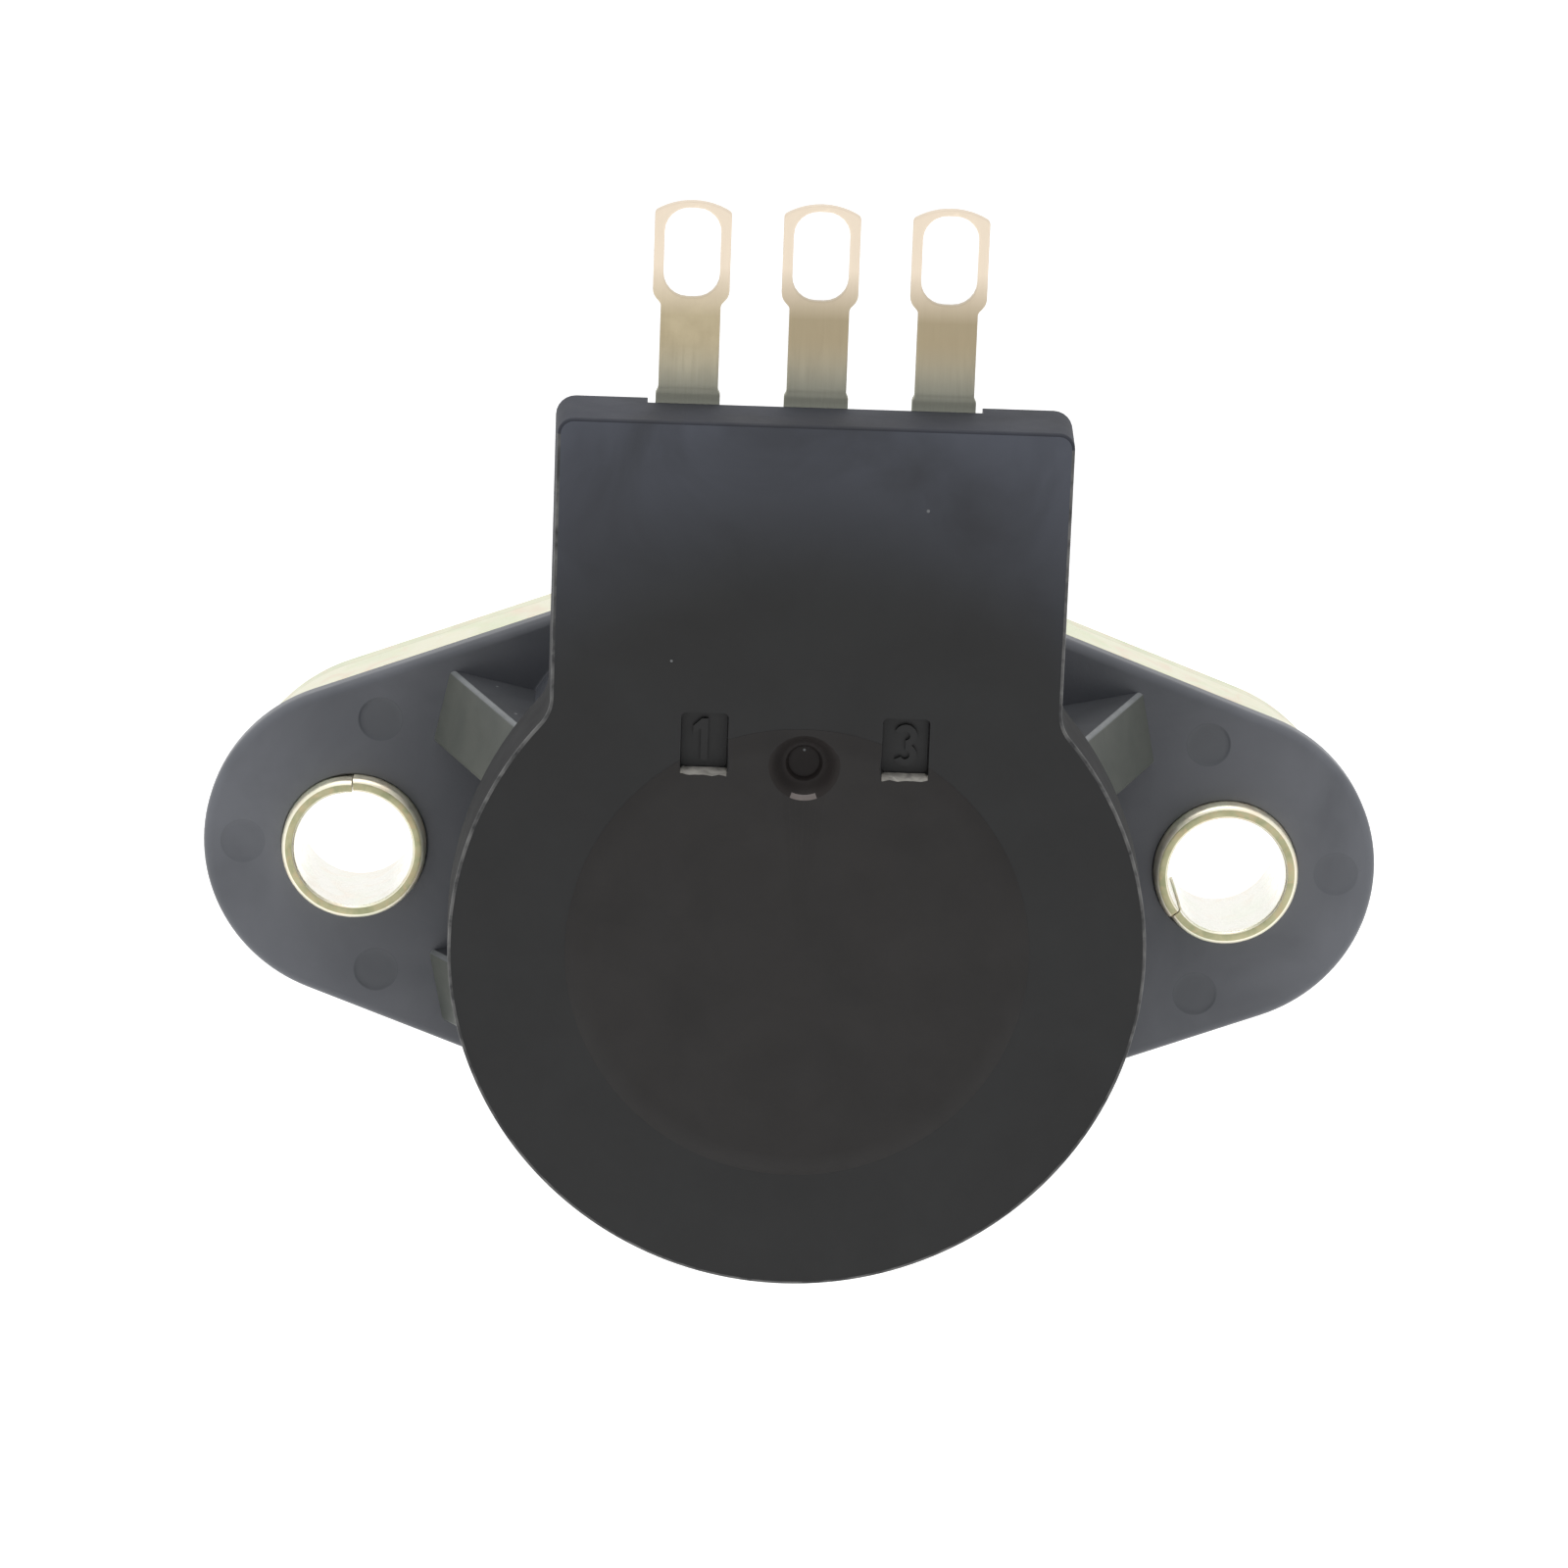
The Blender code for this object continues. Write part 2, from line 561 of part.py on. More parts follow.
def add_rear_cover(material, parent):
    """Moulded cover, round below and square on top, which carries the element and the terminals."""
    half_width = BLOCK_WIDTH / 2.0
    bm = bmesh.new()
    near = keyhole(
        COVER_RADIUS, half_width, BLOCK_TOP, BLOCK_CORNER, NECK_FILLET, LARGE_STEPS
    )
    far = keyhole(
        COVER_RADIUS + COVER_DRAFT, half_width + COVER_DRAFT, BLOCK_TOP + COVER_DRAFT,
        BLOCK_CORNER + COVER_DRAFT, NECK_FILLET - COVER_DRAFT, LARGE_STEPS
    )
    add_bridge(bm, [(x, COVER_REAR, z) for x, z in near], [(x, COVER_FRONT, z) for x, z in far])
    cover = add_object("rear_cover", bm, material, parent)
    round_edges(cover, COVER_EDGE, 2)

    bm = bmesh.new()
    label_face = COVER_REAR - LABEL_RISE
    add_turning(bm, [
        (0.0, COVER_REAR + OVERLAP),
        (LABEL_RADIUS, COVER_REAR + OVERLAP),
        (LABEL_RADIUS, label_face + LABEL_CHAMFER),
        (LABEL_RADIUS - LABEL_CHAMFER, label_face),
        (0.0, label_face),
    ], LARGE_STEPS)
    combine(cover, add_tool("label_field", bm, parent), "UNION")

    bm = bmesh.new()
    pocket = circle(MOUTH_RADIUS - POCKET_LEDGE, LARGE_STEPS)
    add_prism(bm, pocket, COVER_REAR + COVER_FLOOR, COVER_FRONT + OVERLAP)
    combine(cover, add_tool("cover_pocket", bm, parent), "DIFFERENCE")

    bm = bmesh.new()
    half_recess = TERMINAL_PITCH + BLADE_WIDTH / 2.0 + RECESS_MARGIN
    recess = rectangle(-half_recess, half_recess, RIVET_CIRCLE / 2.0, BLOCK_TOP + OVERLAP)
    add_prism(bm, recess, COVER_FRONT - RECESS_DEPTH, COVER_FRONT + OVERLAP)
    combine(cover, add_tool("terminal_recess", bm, parent), "DIFFERENCE")

    bm = bmesh.new()
    floor = COVER_REAR + WINDOW_DEPTH
    for side in (-1.0, 1.0):
        middle = side * WINDOW_OFFSET
        window = rectangle(
            middle - WINDOW_WIDTH / 2.0,
            middle + WINDOW_WIDTH / 2.0,
            WINDOW_HEIGHT - WINDOW_TALL / 2.0,
            WINDOW_HEIGHT + WINDOW_TALL / 2.0,
        )
        add_prism(bm, window, label_face - OVERLAP, floor)
    combine(cover, add_tool("number_windows", bm, parent), "DIFFERENCE")

    bm = bmesh.new()
    dimple_floor = label_face + DIMPLE_DEPTH
    add_turning(bm, [
        (0.0, label_face - OVERLAP),
        (DIMPLE_RADIUS, label_face - OVERLAP),
        (DIMPLE_RADIUS, dimple_floor),
        (GATE_RADIUS, dimple_floor),
        (GATE_RADIUS / 2.0, dimple_floor + GATE_DEPTH),
        (0.0, dimple_floor + GATE_DEPTH),
    ], SMALL_STEPS)
    dimple = add_tool("gate_dimple", bm, parent, (0.0, 0.0, DIMPLE_HEIGHT))
    combine(cover, dimple, "DIFFERENCE")

    bm = bmesh.new()
    for outline in (
        number_one(-WINDOW_OFFSET, WINDOW_HEIGHT),
        number_three(WINDOW_OFFSET, WINDOW_HEIGHT),
    ):
        add_prism(bm, outline, floor - NUMBER_RISE, floor + NUMBER_STROKE)
    combine(cover, add_tool("terminal_numbers", bm, parent), "UNION")


def add_bearing_bush(material, parent):
    """Turned bush: its pilot passes through the plate, and a lip is staked behind the front wall."""
    bore = SHAFT_RADIUS + RUNNING_CLEARANCE
    lip = BUSH_RADIUS + BUSH_LIP
    lip_front = FLANGE_REAR - SEAT_GAP
    shoulder = FLANGE_FRONT + SEAT_GAP
    bm = bmesh.new()
    add_turning(bm, [
        (bore + BUSH_CHAMFER, PILOT_HEIGHT),
        (PILOT_RADIUS - BUSH_CHAMFER, PILOT_HEIGHT),
        (PILOT_RADIUS, PILOT_HEIGHT - BUSH_CHAMFER),
        (PILOT_RADIUS, shoulder),
        (BUSH_RADIUS, shoulder),
        (BUSH_RADIUS, lip_front),
        (lip, lip_front),
        (lip, lip_front - BUSH_LIP_THICKNESS),
        (BUSH_RADIUS, lip_front - BUSH_LIP_THICKNESS),
        (BUSH_RADIUS, BUSH_REAR),
        (bore, BUSH_REAR),
        (bore, PILOT_HEIGHT - BUSH_CHAMFER),
    ], MIDDLE_STEPS)
    add_object("bearing_bush", bm, material, parent)


def add_shaft(material, parent):
    """Turned shaft with a flat in front, two grooves, and a tail that is flat on two sides."""
    seal_groove = SHAFT_RADIUS - 2.0 * RING_SECTION - SEAT_GAP
    seal_front = PILOT_HEIGHT - RING_HEIGHT
    seal_rear = seal_front - 2.0 * (RING_SECTION + SEAT_GAP)
    clip_groove = SHAFT_RADIUS - CLIP_BITE
    bm = bmesh.new()
    add_turning(bm, [
        (0.0, SHAFT_LENGTH),
        (SHAFT_RADIUS - SHAFT_CHAMFER, SHAFT_LENGTH),
        (SHAFT_RADIUS, SHAFT_LENGTH - SHAFT_CHAMFER),
        (SHAFT_RADIUS, seal_front),
        (seal_groove, seal_front),
        (seal_groove, seal_rear),
        (SHAFT_RADIUS, seal_rear),
        (SHAFT_RADIUS, CLIP_FRONT + SEAT_GAP),
        (clip_groove, CLIP_FRONT + SEAT_GAP),
        (clip_groove, CLIP_REAR - SEAT_GAP),
        (SHAFT_RADIUS, CLIP_REAR - SEAT_GAP),
        (SHAFT_RADIUS, TAIL_FRONT),
        (TAIL_RADIUS, TAIL_FRONT),
        (TAIL_RADIUS, TAIL_REAR),
        (0.0, TAIL_REAR),
    ], MIDDLE_STEPS)
    shaft = add_object("shaft", bm, material, parent)
    flat_cut = rectangle(-SHAFT_RADIUS - OVERLAP, SHAFT_RADIUS + OVERLAP,
                         SHAFT_RADIUS - FLAT_DEPTH, SHAFT_RADIUS + OVERLAP)
    tail_low = TAIL_RADIUS - TAIL_FLAT_DEPTH
    tail_high = SHAFT_RADIUS + OVERLAP
    bm = bmesh.new()
    add_prism(bm, flat_cut, SHAFT_LENGTH - FLAT_LENGTH, SHAFT_LENGTH + OVERLAP)
    for low, high in ((tail_low, tail_high), (-tail_high, -tail_low)):
        tail_cut = rectangle(-tail_high, tail_high, low, high)
        add_prism(bm, tail_cut, TAIL_REAR - OVERLAP, TAIL_FRONT)
    combine(shaft, add_tool("shaft_flats", bm, parent), "DIFFERENCE")


def add_shaft_o_ring(material, parent):
    """Rubber ring in the shaft's front groove, inside the bush."""
    middle = SHAFT_RADIUS - RING_SECTION
    seal_front = PILOT_HEIGHT - RING_HEIGHT
    y = seal_front - RING_SECTION - SEAT_GAP
    bm = bmesh.new()
    add_turning(bm, circle(RING_SECTION, SECTION_STEPS, middle, y), MIDDLE_STEPS)
    add_object("shaft_o_ring", bm, material, parent)


def add_thrust_washer(material, parent):
    """Flat washer between the bush and the spring washer."""
    inner = SHAFT_RADIUS + WASHER_PLAY
    front = BUSH_REAR - SEAT_GAP
    bm = bmesh.new()
    add_turning(bm, [
        (inner, front),
        (inner + WASHER_WIDTH, front),
        (inner + WASHER_WIDTH, THRUST_REAR),
        (inner, THRUST_REAR),
    ], MIDDLE_STEPS)
    add_object("thrust_washer", bm, material, parent)


def add_spring_washer(material, parent):
    """Waved washer that takes up the shaft's end play."""
    inner = SHAFT_RADIUS + WASHER_PLAY
    outer = inner + WASHER_WIDTH
    half = WAVE_THICKNESS / 2.0
    bm = bmesh.new()
    columns = []
    for step in range(MIDDLE_STEPS):
        angle = FULL_TURN * step / MIDDLE_STEPS
        y = WAVE_MIDDLE + WAVE_HEIGHT * math.cos(WAVE_COUNT * angle)
        column = []
        for radius, offset in ((inner, half), (outer, half), (outer, -half), (inner, -half)):
            place = (radius * math.cos(angle), y + offset, radius * math.sin(angle))
            column.append(bm.verts.new(place))
        columns.append(column)
    for step in range(MIDDLE_STEPS):
        near = columns[step]
        far = columns[(step + 1) % MIDDLE_STEPS]
        for index in range(4):
            bm.faces.new((near[index], near[index - 1], far[index - 1], far[index]))
    add_object("spring_washer", bm, material, parent)


def add_retaining_ring(material, parent):
    """Open snap ring in the shaft's rear groove."""
    inner = SHAFT_RADIUS - CLIP_BITE + SEAT_GAP
    outer = SHAFT_RADIUS + CLIP_REACH
    bm = bmesh.new()
    add_prism(
        bm,
        sector(inner, outer, -QUARTER_TURN, FULL_TURN - CLIP_OPENING, CLIP_STEPS),
        CLIP_REAR,
        CLIP_FRONT,
    )
    add_object("retaining_ring", bm, material, parent)


def peg_places():
    """List the (x, z) places of the two pegs that hold the wiper."""
    return [(PEG_X, -RING_RADIUS), (PEG_X, -TRACK_RADIUS)]


def add_rotor_carrier(material, parent):
    """Moulded disc on the shaft's tail, with the stop finger in front and two pegs behind."""
    hub = TAIL_RADIUS + HUB_WALL
    nose = TAIL_RADIUS + NOSE_WALL
    bm = bmesh.new()
    add_turning(bm, [
        (0.0, HUB_FRONT),
        (hub, HUB_FRONT),
        (hub, DISC_FRONT),
        (DISC_RADIUS, DISC_FRONT),
        (DISC_RADIUS, DISC_REAR),
        (nose, DISC_REAR),
        (nose, TAIL_REAR),
        (0.0, TAIL_REAR),
    ], LARGE_STEPS)
    carrier = add_object("rotor_carrier", bm, material, parent)

    bm = bmesh.new()
    finger = sector(
        CAVITY_RADIUS - STOP_DEPTH, DISC_RADIUS - SEAT_GAP, QUARTER_TURN, FINGER_ANGLE, STOP_STEPS
    )
    add_prism(bm, finger, DISC_FRONT - OVERLAP, FLANGE_REAR - STOP_GAP)
    combine(carrier, add_tool("stop_finger", bm, parent), "UNION")

    head_front = DISC_REAR - 2.0 * SEAT_GAP - WIPER_THICKNESS
    bm = bmesh.new()
    for x, z in peg_places():
        peg = bmesh.new()
        add_turning(peg, [
            (0.0, DISC_REAR + OVERLAP),
            (PEG_RADIUS, DISC_REAR + OVERLAP),
            (PEG_RADIUS, head_front),
            (PEG_HEAD_RADIUS, head_front),
            (PEG_RADIUS, head_front - PEG_HEAD_HEIGHT),
            (0.0, head_front - PEG_HEAD_HEIGHT),
        ], SMALL_STEPS)
        bmesh.ops.translate(peg, verts=peg.verts[:], vec=(x, 0.0, z))
        shape = bpy.data.meshes.new("peg")
        peg.to_mesh(shape)
        peg.free()
        bm.from_mesh(shape)
    combine(carrier, add_tool("wiper_pegs", bm, parent), "UNION")

    radius = TAIL_RADIUS + SEAT_GAP
    flat = TAIL_RADIUS - TAIL_FLAT_DEPTH + SEAT_GAP
    edge = math.asin(flat / radius)
    outline = arc(radius, -edge, edge, LUG_STEPS)
    outline += arc(radius, math.pi - edge, math.pi + edge, LUG_STEPS)
    bm = bmesh.new()
    add_prism(bm, outline, TAIL_REAR - OVERLAP, HUB_FRONT + OVERLAP)
    combine(carrier, add_tool("tail_bore", bm, parent), "DIFFERENCE")


def strip_side(path, thickness):
    """List the (x, y) outline of a strip of even thickness, seen from its edge."""
    left = []
    right = []
    last = len(path) - 1
    for index, (x, y) in enumerate(path):
        before = path[max(index - 1, 0)]
        after = path[min(index + 1, last)]
        run = after[0] - before[0]
        rise = after[1] - before[1]
        length = math.hypot(run, rise)
        shift_x = -rise / length * thickness / 2.0
        shift_y = run / length * thickness / 2.0
        left.append((x + shift_x, y + shift_y))
        right.append((x - shift_x, y - shift_y))
    return left + right[::-1]


def add_wiper(material, parent):
    """Stamped spring: a base on two pegs, and two pairs of fingers that reach to the tracks."""
    base_front = DISC_REAR - SEAT_GAP
    base_rear = base_front - WIPER_THICKNESS
    base_low = -(TRACK_RADIUS + WIPER_BASE_MARGIN)
    base_high = -(RING_RADIUS - WIPER_BASE_MARGIN)
    base_far = WIPER_BASE_NEAR + WIPER_BASE_WIDTH
    bm = bmesh.new()
    add_prism(bm, rectangle(-base_far, -WIPER_BASE_NEAR, base_low, base_high),
              base_rear, base_front)
    wiper = add_object("wiper", bm, material, parent)

    half = WIPER_THICKNESS / 2.0
    root_y = base_front - half
    tip_y = TRACK_FACE + WIPER_TIP_GAP + half
    path = [
        (-WIPER_BASE_NEAR - OVERLAP, root_y),
        (-WIPER_BASE_NEAR + WIPER_TIP_LENGTH / 2.0, root_y),
        (-WIPER_TIP_LENGTH, tip_y + half),
        (0.0, tip_y),
        (WIPER_TIP_LENGTH, tip_y + WIPER_TIP_LENGTH),
    ]
    side = strip_side(path, WIPER_THICKNESS)
    bm = bmesh.new()
    for radius in (RING_RADIUS, TRACK_RADIUS):
        for shift in (-FINGER_PITCH / 2.0, FINGER_PITCH / 2.0):
            low = -radius + shift - FINGER_WIDTH / 2.0
            high = low + FINGER_WIDTH
            add_bridge(bm, [(x, y, low) for x, y in side], [(x, y, high) for x, y in side])
    combine(wiper, add_tool("wiper_fingers", bm, parent), "UNION")

    bm = bmesh.new()
    for x, z in peg_places():
        add_prism(bm, circle(PEG_BORE, SMALL_STEPS, x, z), base_rear - OVERLAP, base_front + OVERLAP)
    combine(wiper, add_tool("peg_bores", bm, parent), "DIFFERENCE")


def add_rivet_bores(parent):
    """One tool for the rivets' holes in the element, the tracks and the terminals."""
    bm = bmesh.new()
    for x, z in rivet_places():
        hole = circle(RIVET_BORE, SMALL_STEPS, x, z)
        add_prism(bm, hole, COVER_FRONT - RECESS_DEPTH - OVERLAP, TRACK_FACE + OVERLAP)
    return add_tool("rivet_bores", bm, parent)


def add_element(materials, rivet_bores, parent):
    """Laminate disc clamped between the cup's ledge and the cover, with its two printed tracks."""
    bm = bmesh.new()
    disc = circle(MOUTH_RADIUS - SEAT_GAP, LARGE_STEPS)
    add_prism(bm, disc, ELEMENT_REAR, ELEMENT_FRONT)
    substrate = add_object("element_substrate", bm, materials["laminate"], parent)
    combine(substrate, rivet_bores, "DIFFERENCE")

    track_rear = ELEMENT_FRONT + SEAT_GAP
    inner = TRACK_RADIUS - TRACK_WIDTH / 2.0
    outer = TRACK_RADIUS + TRACK_WIDTH / 2.0
    lean = math.asin(TERMINAL_PITCH / RIVET_CIRCLE)
    right_low = FULL_TURN + QUARTER_TURN - lean - PAD_ANGLE
    right_high = right_low + 2.0 * PAD_ANGLE
    left_low = QUARTER_TURN + lean - PAD_ANGLE
    left_high = left_low + 2.0 * PAD_ANGLE
    outline = arc(outer, left_high, right_low, TRACK_STEPS)
    outline += arc(LEAD_END, right_low, right_high, CORNER_STEPS)
    outline += arc(inner, right_high, left_low, TRACK_STEPS)
    outline += arc(LEAD_END, left_low, left_high, CORNER_STEPS)
    bm = bmesh.new()
    add_prism(bm, outline, track_rear, TRACK_FACE)
    track = add_object("resistive_track", bm, materials["carbon"], parent)
    combine(track, rivet_bores, "DIFFERENCE")

    ring_outer = RING_RADIUS + RING_WIDTH / 2.0
    half_lead = LEAD_WIDTH / 2.0
    outline = keyhole(
        ring_outer, half_lead, LEAD_END, half_lead / 2.0, LEAD_FILLET, TRACK_STEPS
    )
    bm = bmesh.new()
    add_prism(bm, outline, track_rear, TRACK_FACE)
    ring = add_object("collector_track", bm, materials["silver"], parent)
    combine(ring, rivet_bores, "DIFFERENCE")
    bm = bmesh.new()
    hole = circle(RING_RADIUS - RING_WIDTH / 2.0, MIDDLE_STEPS)
    add_prism(bm, hole, track_rear - OVERLAP, TRACK_FACE + OVERLAP)
    combine(ring, add_tool("ring_hole", bm, parent), "DIFFERENCE")


def lug_outline(x, rivet_z):
    """List the outline of a terminal: round foot, blade, narrower shank and crowned head."""
    blade = BLADE_WIDTH / 2.0
    shank = SHANK_WIDTH / 2.0
    head = HEAD_WIDTH / 2.0
    neck = BLOCK_TOP + CRANK_START + CRANK_HEIGHT
    apex = BLOCK_TOP + LUG_HEIGHT
    shoulder = apex - HEAD_HEIGHT
    crown_radius = (head ** 2 + HEAD_CROWN ** 2) / (2.0 * HEAD_CROWN)
    spread = math.asin(head / crown_radius)
    points = arc(blade, math.pi, FULL_TURN, LUG_STEPS, x, rivet_z)
    points += [
        (x + blade, neck - SHOULDER_HEIGHT / 2.0),
        (x + shank, neck),
        (x + shank, shoulder - SHOULDER_HEIGHT),
        (x + head, shoulder),
    ]
    points += arc(crown_radius, QUARTER_TURN - spread, QUARTER_TURN + spread, LUG_STEPS,
                  x, apex - crown_radius)
    points += [
        (x - head, shoulder),
        (x - shank, shoulder - SHOULDER_HEIGHT),
        (x - shank, neck),
        (x - blade, neck - SHOULDER_HEIGHT / 2.0),
    ]
    return points


def eye_outline(x):
    """List the outline of a lug's eye, a slot with well-rounded corners."""
    top = BLOCK_TOP + LUG_HEIGHT - EYE_TOP_WALL
    bottom = top - EYE_TALL
    side = EYE_WIDTH / 2.0 - EYE_CORNER
    centres = [
        (x + side, top - EYE_CORNER),
        (x - side, top - EYE_CORNER),
        (x - side, bottom + EYE_CORNER),
        (x + side, bottom + EYE_CORNER),
    ]
    points = []
    for index, (corner_x, corner_z) in enumerate(centres):
        start = index * QUARTER_TURN
        points += arc(EYE_CORNER, start, start + QUARTER_TURN, CORNER_STEPS, corner_x, corner_z)
    return points


def add_terminals(material, rivet_bores, parent):
    """Stamped lugs: each steps from the element to the recess's wall, and cranks above the block."""
    foot_front = COVER_FRONT
    blade_front = COVER_FRONT - RECESS_DEPTH + SEAT_GAP + TERMINAL_THICKNESS
    lug_front = blade_front - CRANK_STEP
    jog_low = CUP_RADIUS + SEAT_GAP
    crank_low = BLOCK_TOP + CRANK_START
    bends = [
        (jog_low, foot_front),
        (jog_low + JOG_HEIGHT, blade_front),
        (crank_low, blade_front),
        (crank_low + CRANK_HEIGHT, lug_front),
    ]

    def front_face(z):
        """Find how far forward the strip's front face is at a height."""
        if z <= bends[0][0]:
            return bends[0][1]
        for (low, low_y), (high, high_y) in zip(bends, bends[1:]):
            if z <= high:
                return low_y + (high_y - low_y) * (z - low) / (high - low)
        return bends[-1][1]

    bm = bmesh.new()
    for x, z in rivet_places():
        add_prism(bm, eye_outline(x), COVER_REAR, COVER_FRONT + OVERLAP)
    eyes = add_tool("lug_eyes", bm, parent)
    for number, (x, z) in enumerate(rivet_places(), start=1):
        bm = bmesh.new()
        add_prism(bm, lug_outline(x, z), -TERMINAL_THICKNESS, 0.0)
        for height, front in bends:
            everything = bm.verts[:] + bm.edges[:] + bm.faces[:]
            bmesh.ops.bisect_plane(
                bm, geom=everything, dist=1e-7, plane_co=(0.0, 0.0, height), plane_no=(0.0, 0.0, 1.0)
            )
        for vertex in bm.verts:
            vertex.co.y += front_face(vertex.co.z)
        terminal = add_object(f"terminal_{number}", bm, material, parent)
        combine(terminal, eyes, "DIFFERENCE")
        combine(terminal, rivet_bores, "DIFFERENCE")


def add_terminal_rivets(material, parent):
    """Rivets that tie each terminal to the element, with a head on each side."""
    front = TRACK_FACE + SEAT_GAP
    rear = COVER_FRONT - TERMINAL_THICKNESS - SEAT_GAP
    round_edge = RIVET_HEAD_HEIGHT / 2.0
    inner_head = RIVET_HEAD_RADIUS - round_edge
    for number, (x, z) in enumerate(rivet_places(), start=1):
        bm = bmesh.new()
        add_turning(bm, [
            (0.0, front + RIVET_HEAD_HEIGHT),
            (inner_head, front + RIVET_HEAD_HEIGHT),
            (RIVET_HEAD_RADIUS, front + round_edge),
            (RIVET_HEAD_RADIUS, front),
            (RIVET_RADIUS, front),
            (RIVET_RADIUS, rear),
            (RIVET_HEAD_RADIUS, rear),
            (RIVET_HEAD_RADIUS, rear - round_edge),
            (inner_head, rear - RIVET_HEAD_HEIGHT),
            (0.0, rear - RIVET_HEAD_HEIGHT),
        ], SMALL_STEPS)
        add_object(f"terminal_rivet_{number}", bm, material, parent, (x, 0.0, z))


def add_terminal_seal(material, parent):
    """Resin bar that closes the front of the terminals' recess, below the block's top."""
    half_width = TERMINAL_PITCH + BLADE_WIDTH / 2.0 + RECESS_MARGIN - SEAT_GAP
    low = CUP_RADIUS + SEAT_GAP + JOG_HEIGHT + SEAL_LIFT
    rear = COVER_FRONT - RECESS_DEPTH + SEAT_GAP + TERMINAL_THICKNESS + SEAT_GAP
    bm = bmesh.new()
    add_prism(bm, rectangle(-half_width, half_width, low, BLOCK_TOP - SEAL_SETBACK),
              rear, COVER_FRONT)
    add_object("terminal_seal", bm, material, parent)


def add_frame(name):
    """Add an empty at the origin that carries the pieces of one body."""
    empty = bpy.data.objects.new(name, None)
    empty.empty_display_size = 5.0 * MM
    bpy.context.scene.collection.objects.link(empty)
    return empty


for old in list(bpy.data.objects):
    bpy.data.objects.remove(old)

finishes = {
    "black_moulding": add_material("black_moulding", "2E2F31", 0.5),
    "carrier_moulding": add_material("carrier_moulding", "D8D2C2", 0.5),
    "yellow_zinc": add_material("yellow_zinc", "D9CFA0", 0.35, 1.0),
    "tinned_brass": add_material("tinned_brass", "C8BD9E", 0.35, 1.0),
    "bush_brass": add_material("bush_brass", "C9A85C", 0.35, 1.0),
    "shaft_steel": add_material("shaft_steel", "B9BABB", 0.25, 1.0),
    "spring_steel": add_material("spring_steel", "77787A", 0.35, 1.0),
    "bronze": add_material("bronze", "C58B5A", 0.3, 1.0),
    "rubber": add_material("rubber", "1B1B1C", 0.7),
    "laminate": add_material("laminate", "7A5A38", 0.55),
    "carbon": add_material("carbon", "26272A", 0.45),
    "silver": add_material("silver", "C9C9C6", 0.35, 1.0),
    "resin": add_material("resin", "3A3A3C", 0.35),
}

case = add_frame("case_frame")
rotor = add_frame("shaft_axis")

add_mounting_plate(finishes["yellow_zinc"], case)
add_housing(finishes["black_moulding"], case)
add_collar("left_collar", -1.0, LEFT_SPLIT_ANGLE, finishes["yellow_zinc"], case)
add_collar("right_collar", 1.0, RIGHT_SPLIT_ANGLE, finishes["yellow_zinc"], case)
add_rear_cover(finishes["black_moulding"], case)
add_bearing_bush(finishes["bush_brass"], case)
bores = add_rivet_bores(case)
add_element(finishes, bores, case)
add_terminals(finishes["tinned_brass"], bores, case)
add_terminal_rivets(finishes["bush_brass"], case)
add_terminal_seal(finishes["resin"], case)

add_shaft(finishes["shaft_steel"], rotor)
add_shaft_o_ring(finishes["rubber"], rotor)
add_thrust_washer(finishes["spring_steel"], rotor)
add_spring_washer(finishes["spring_steel"], rotor)
add_retaining_ring(finishes["spring_steel"], rotor)
add_rotor_carrier(finishes["carrier_moulding"], rotor)
add_wiper(finishes["bronze"], rotor)
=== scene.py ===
from math import acos, asin, atan2, copysign, cos, exp, hypot, pi, radians, sin, sqrt

import bmesh
import bpy
from mathutils import Matrix, Vector


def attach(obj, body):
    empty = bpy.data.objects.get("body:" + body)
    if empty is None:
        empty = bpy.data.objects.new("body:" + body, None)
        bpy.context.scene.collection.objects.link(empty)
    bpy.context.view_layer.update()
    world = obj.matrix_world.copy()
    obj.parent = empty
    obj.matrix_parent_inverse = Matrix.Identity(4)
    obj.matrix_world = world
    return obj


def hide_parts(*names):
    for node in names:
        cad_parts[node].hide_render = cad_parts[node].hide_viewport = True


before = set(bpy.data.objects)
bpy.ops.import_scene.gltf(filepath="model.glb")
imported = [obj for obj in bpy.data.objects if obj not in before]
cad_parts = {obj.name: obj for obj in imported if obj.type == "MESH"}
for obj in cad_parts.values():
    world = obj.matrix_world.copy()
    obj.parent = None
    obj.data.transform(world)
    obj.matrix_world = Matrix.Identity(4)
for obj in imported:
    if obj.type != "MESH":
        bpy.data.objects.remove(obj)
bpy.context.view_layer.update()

# Throttle potentiometer, seen from the rear. The shaft lies along Y and points to +Y, the solder
# lugs point to +Z, and the origin is where the shaft's axis meets the mounting plane. An outline
# is a list of (x, z) points, a profile one of (radius, y) points, and angles are in radians.

# Housing: the two-eared flange and the cup behind it are one moulding, open at the rear.
# It is glass-filled PBT, a hard black plastic that moulds with a slight satin gloss. Four sloped
# gussets brace the ears, and the ejector pins left shallow round marks on the flange.
MM = 0.001
TURN = 2.0 * pi
RIGHT_ANGLE = pi / 2.0
# How far a cutting form reaches past the surface that it cuts
PAST = 0.6 * MM

FLANGE_FRONT = -3.75 * MM
FLANGE_REAR = -4.85 * MM
FLANGE_ROUND = 0.4 * MM
EDGE_BREAK = 0.06 * MM
EAR_OFFSET = 18.0 * MM
EAR_RADIUS = 6.9 * MM
HUB_RADIUS = 13.2 * MM
HOLE_OFFSET = 18.5 * MM
HOLE_RADIUS = 3.07 * MM
CUP_RADIUS = 13.0 * MM
CUP_REAR = -15.27 * MM
CUP_FOOT = 0.15 * MM
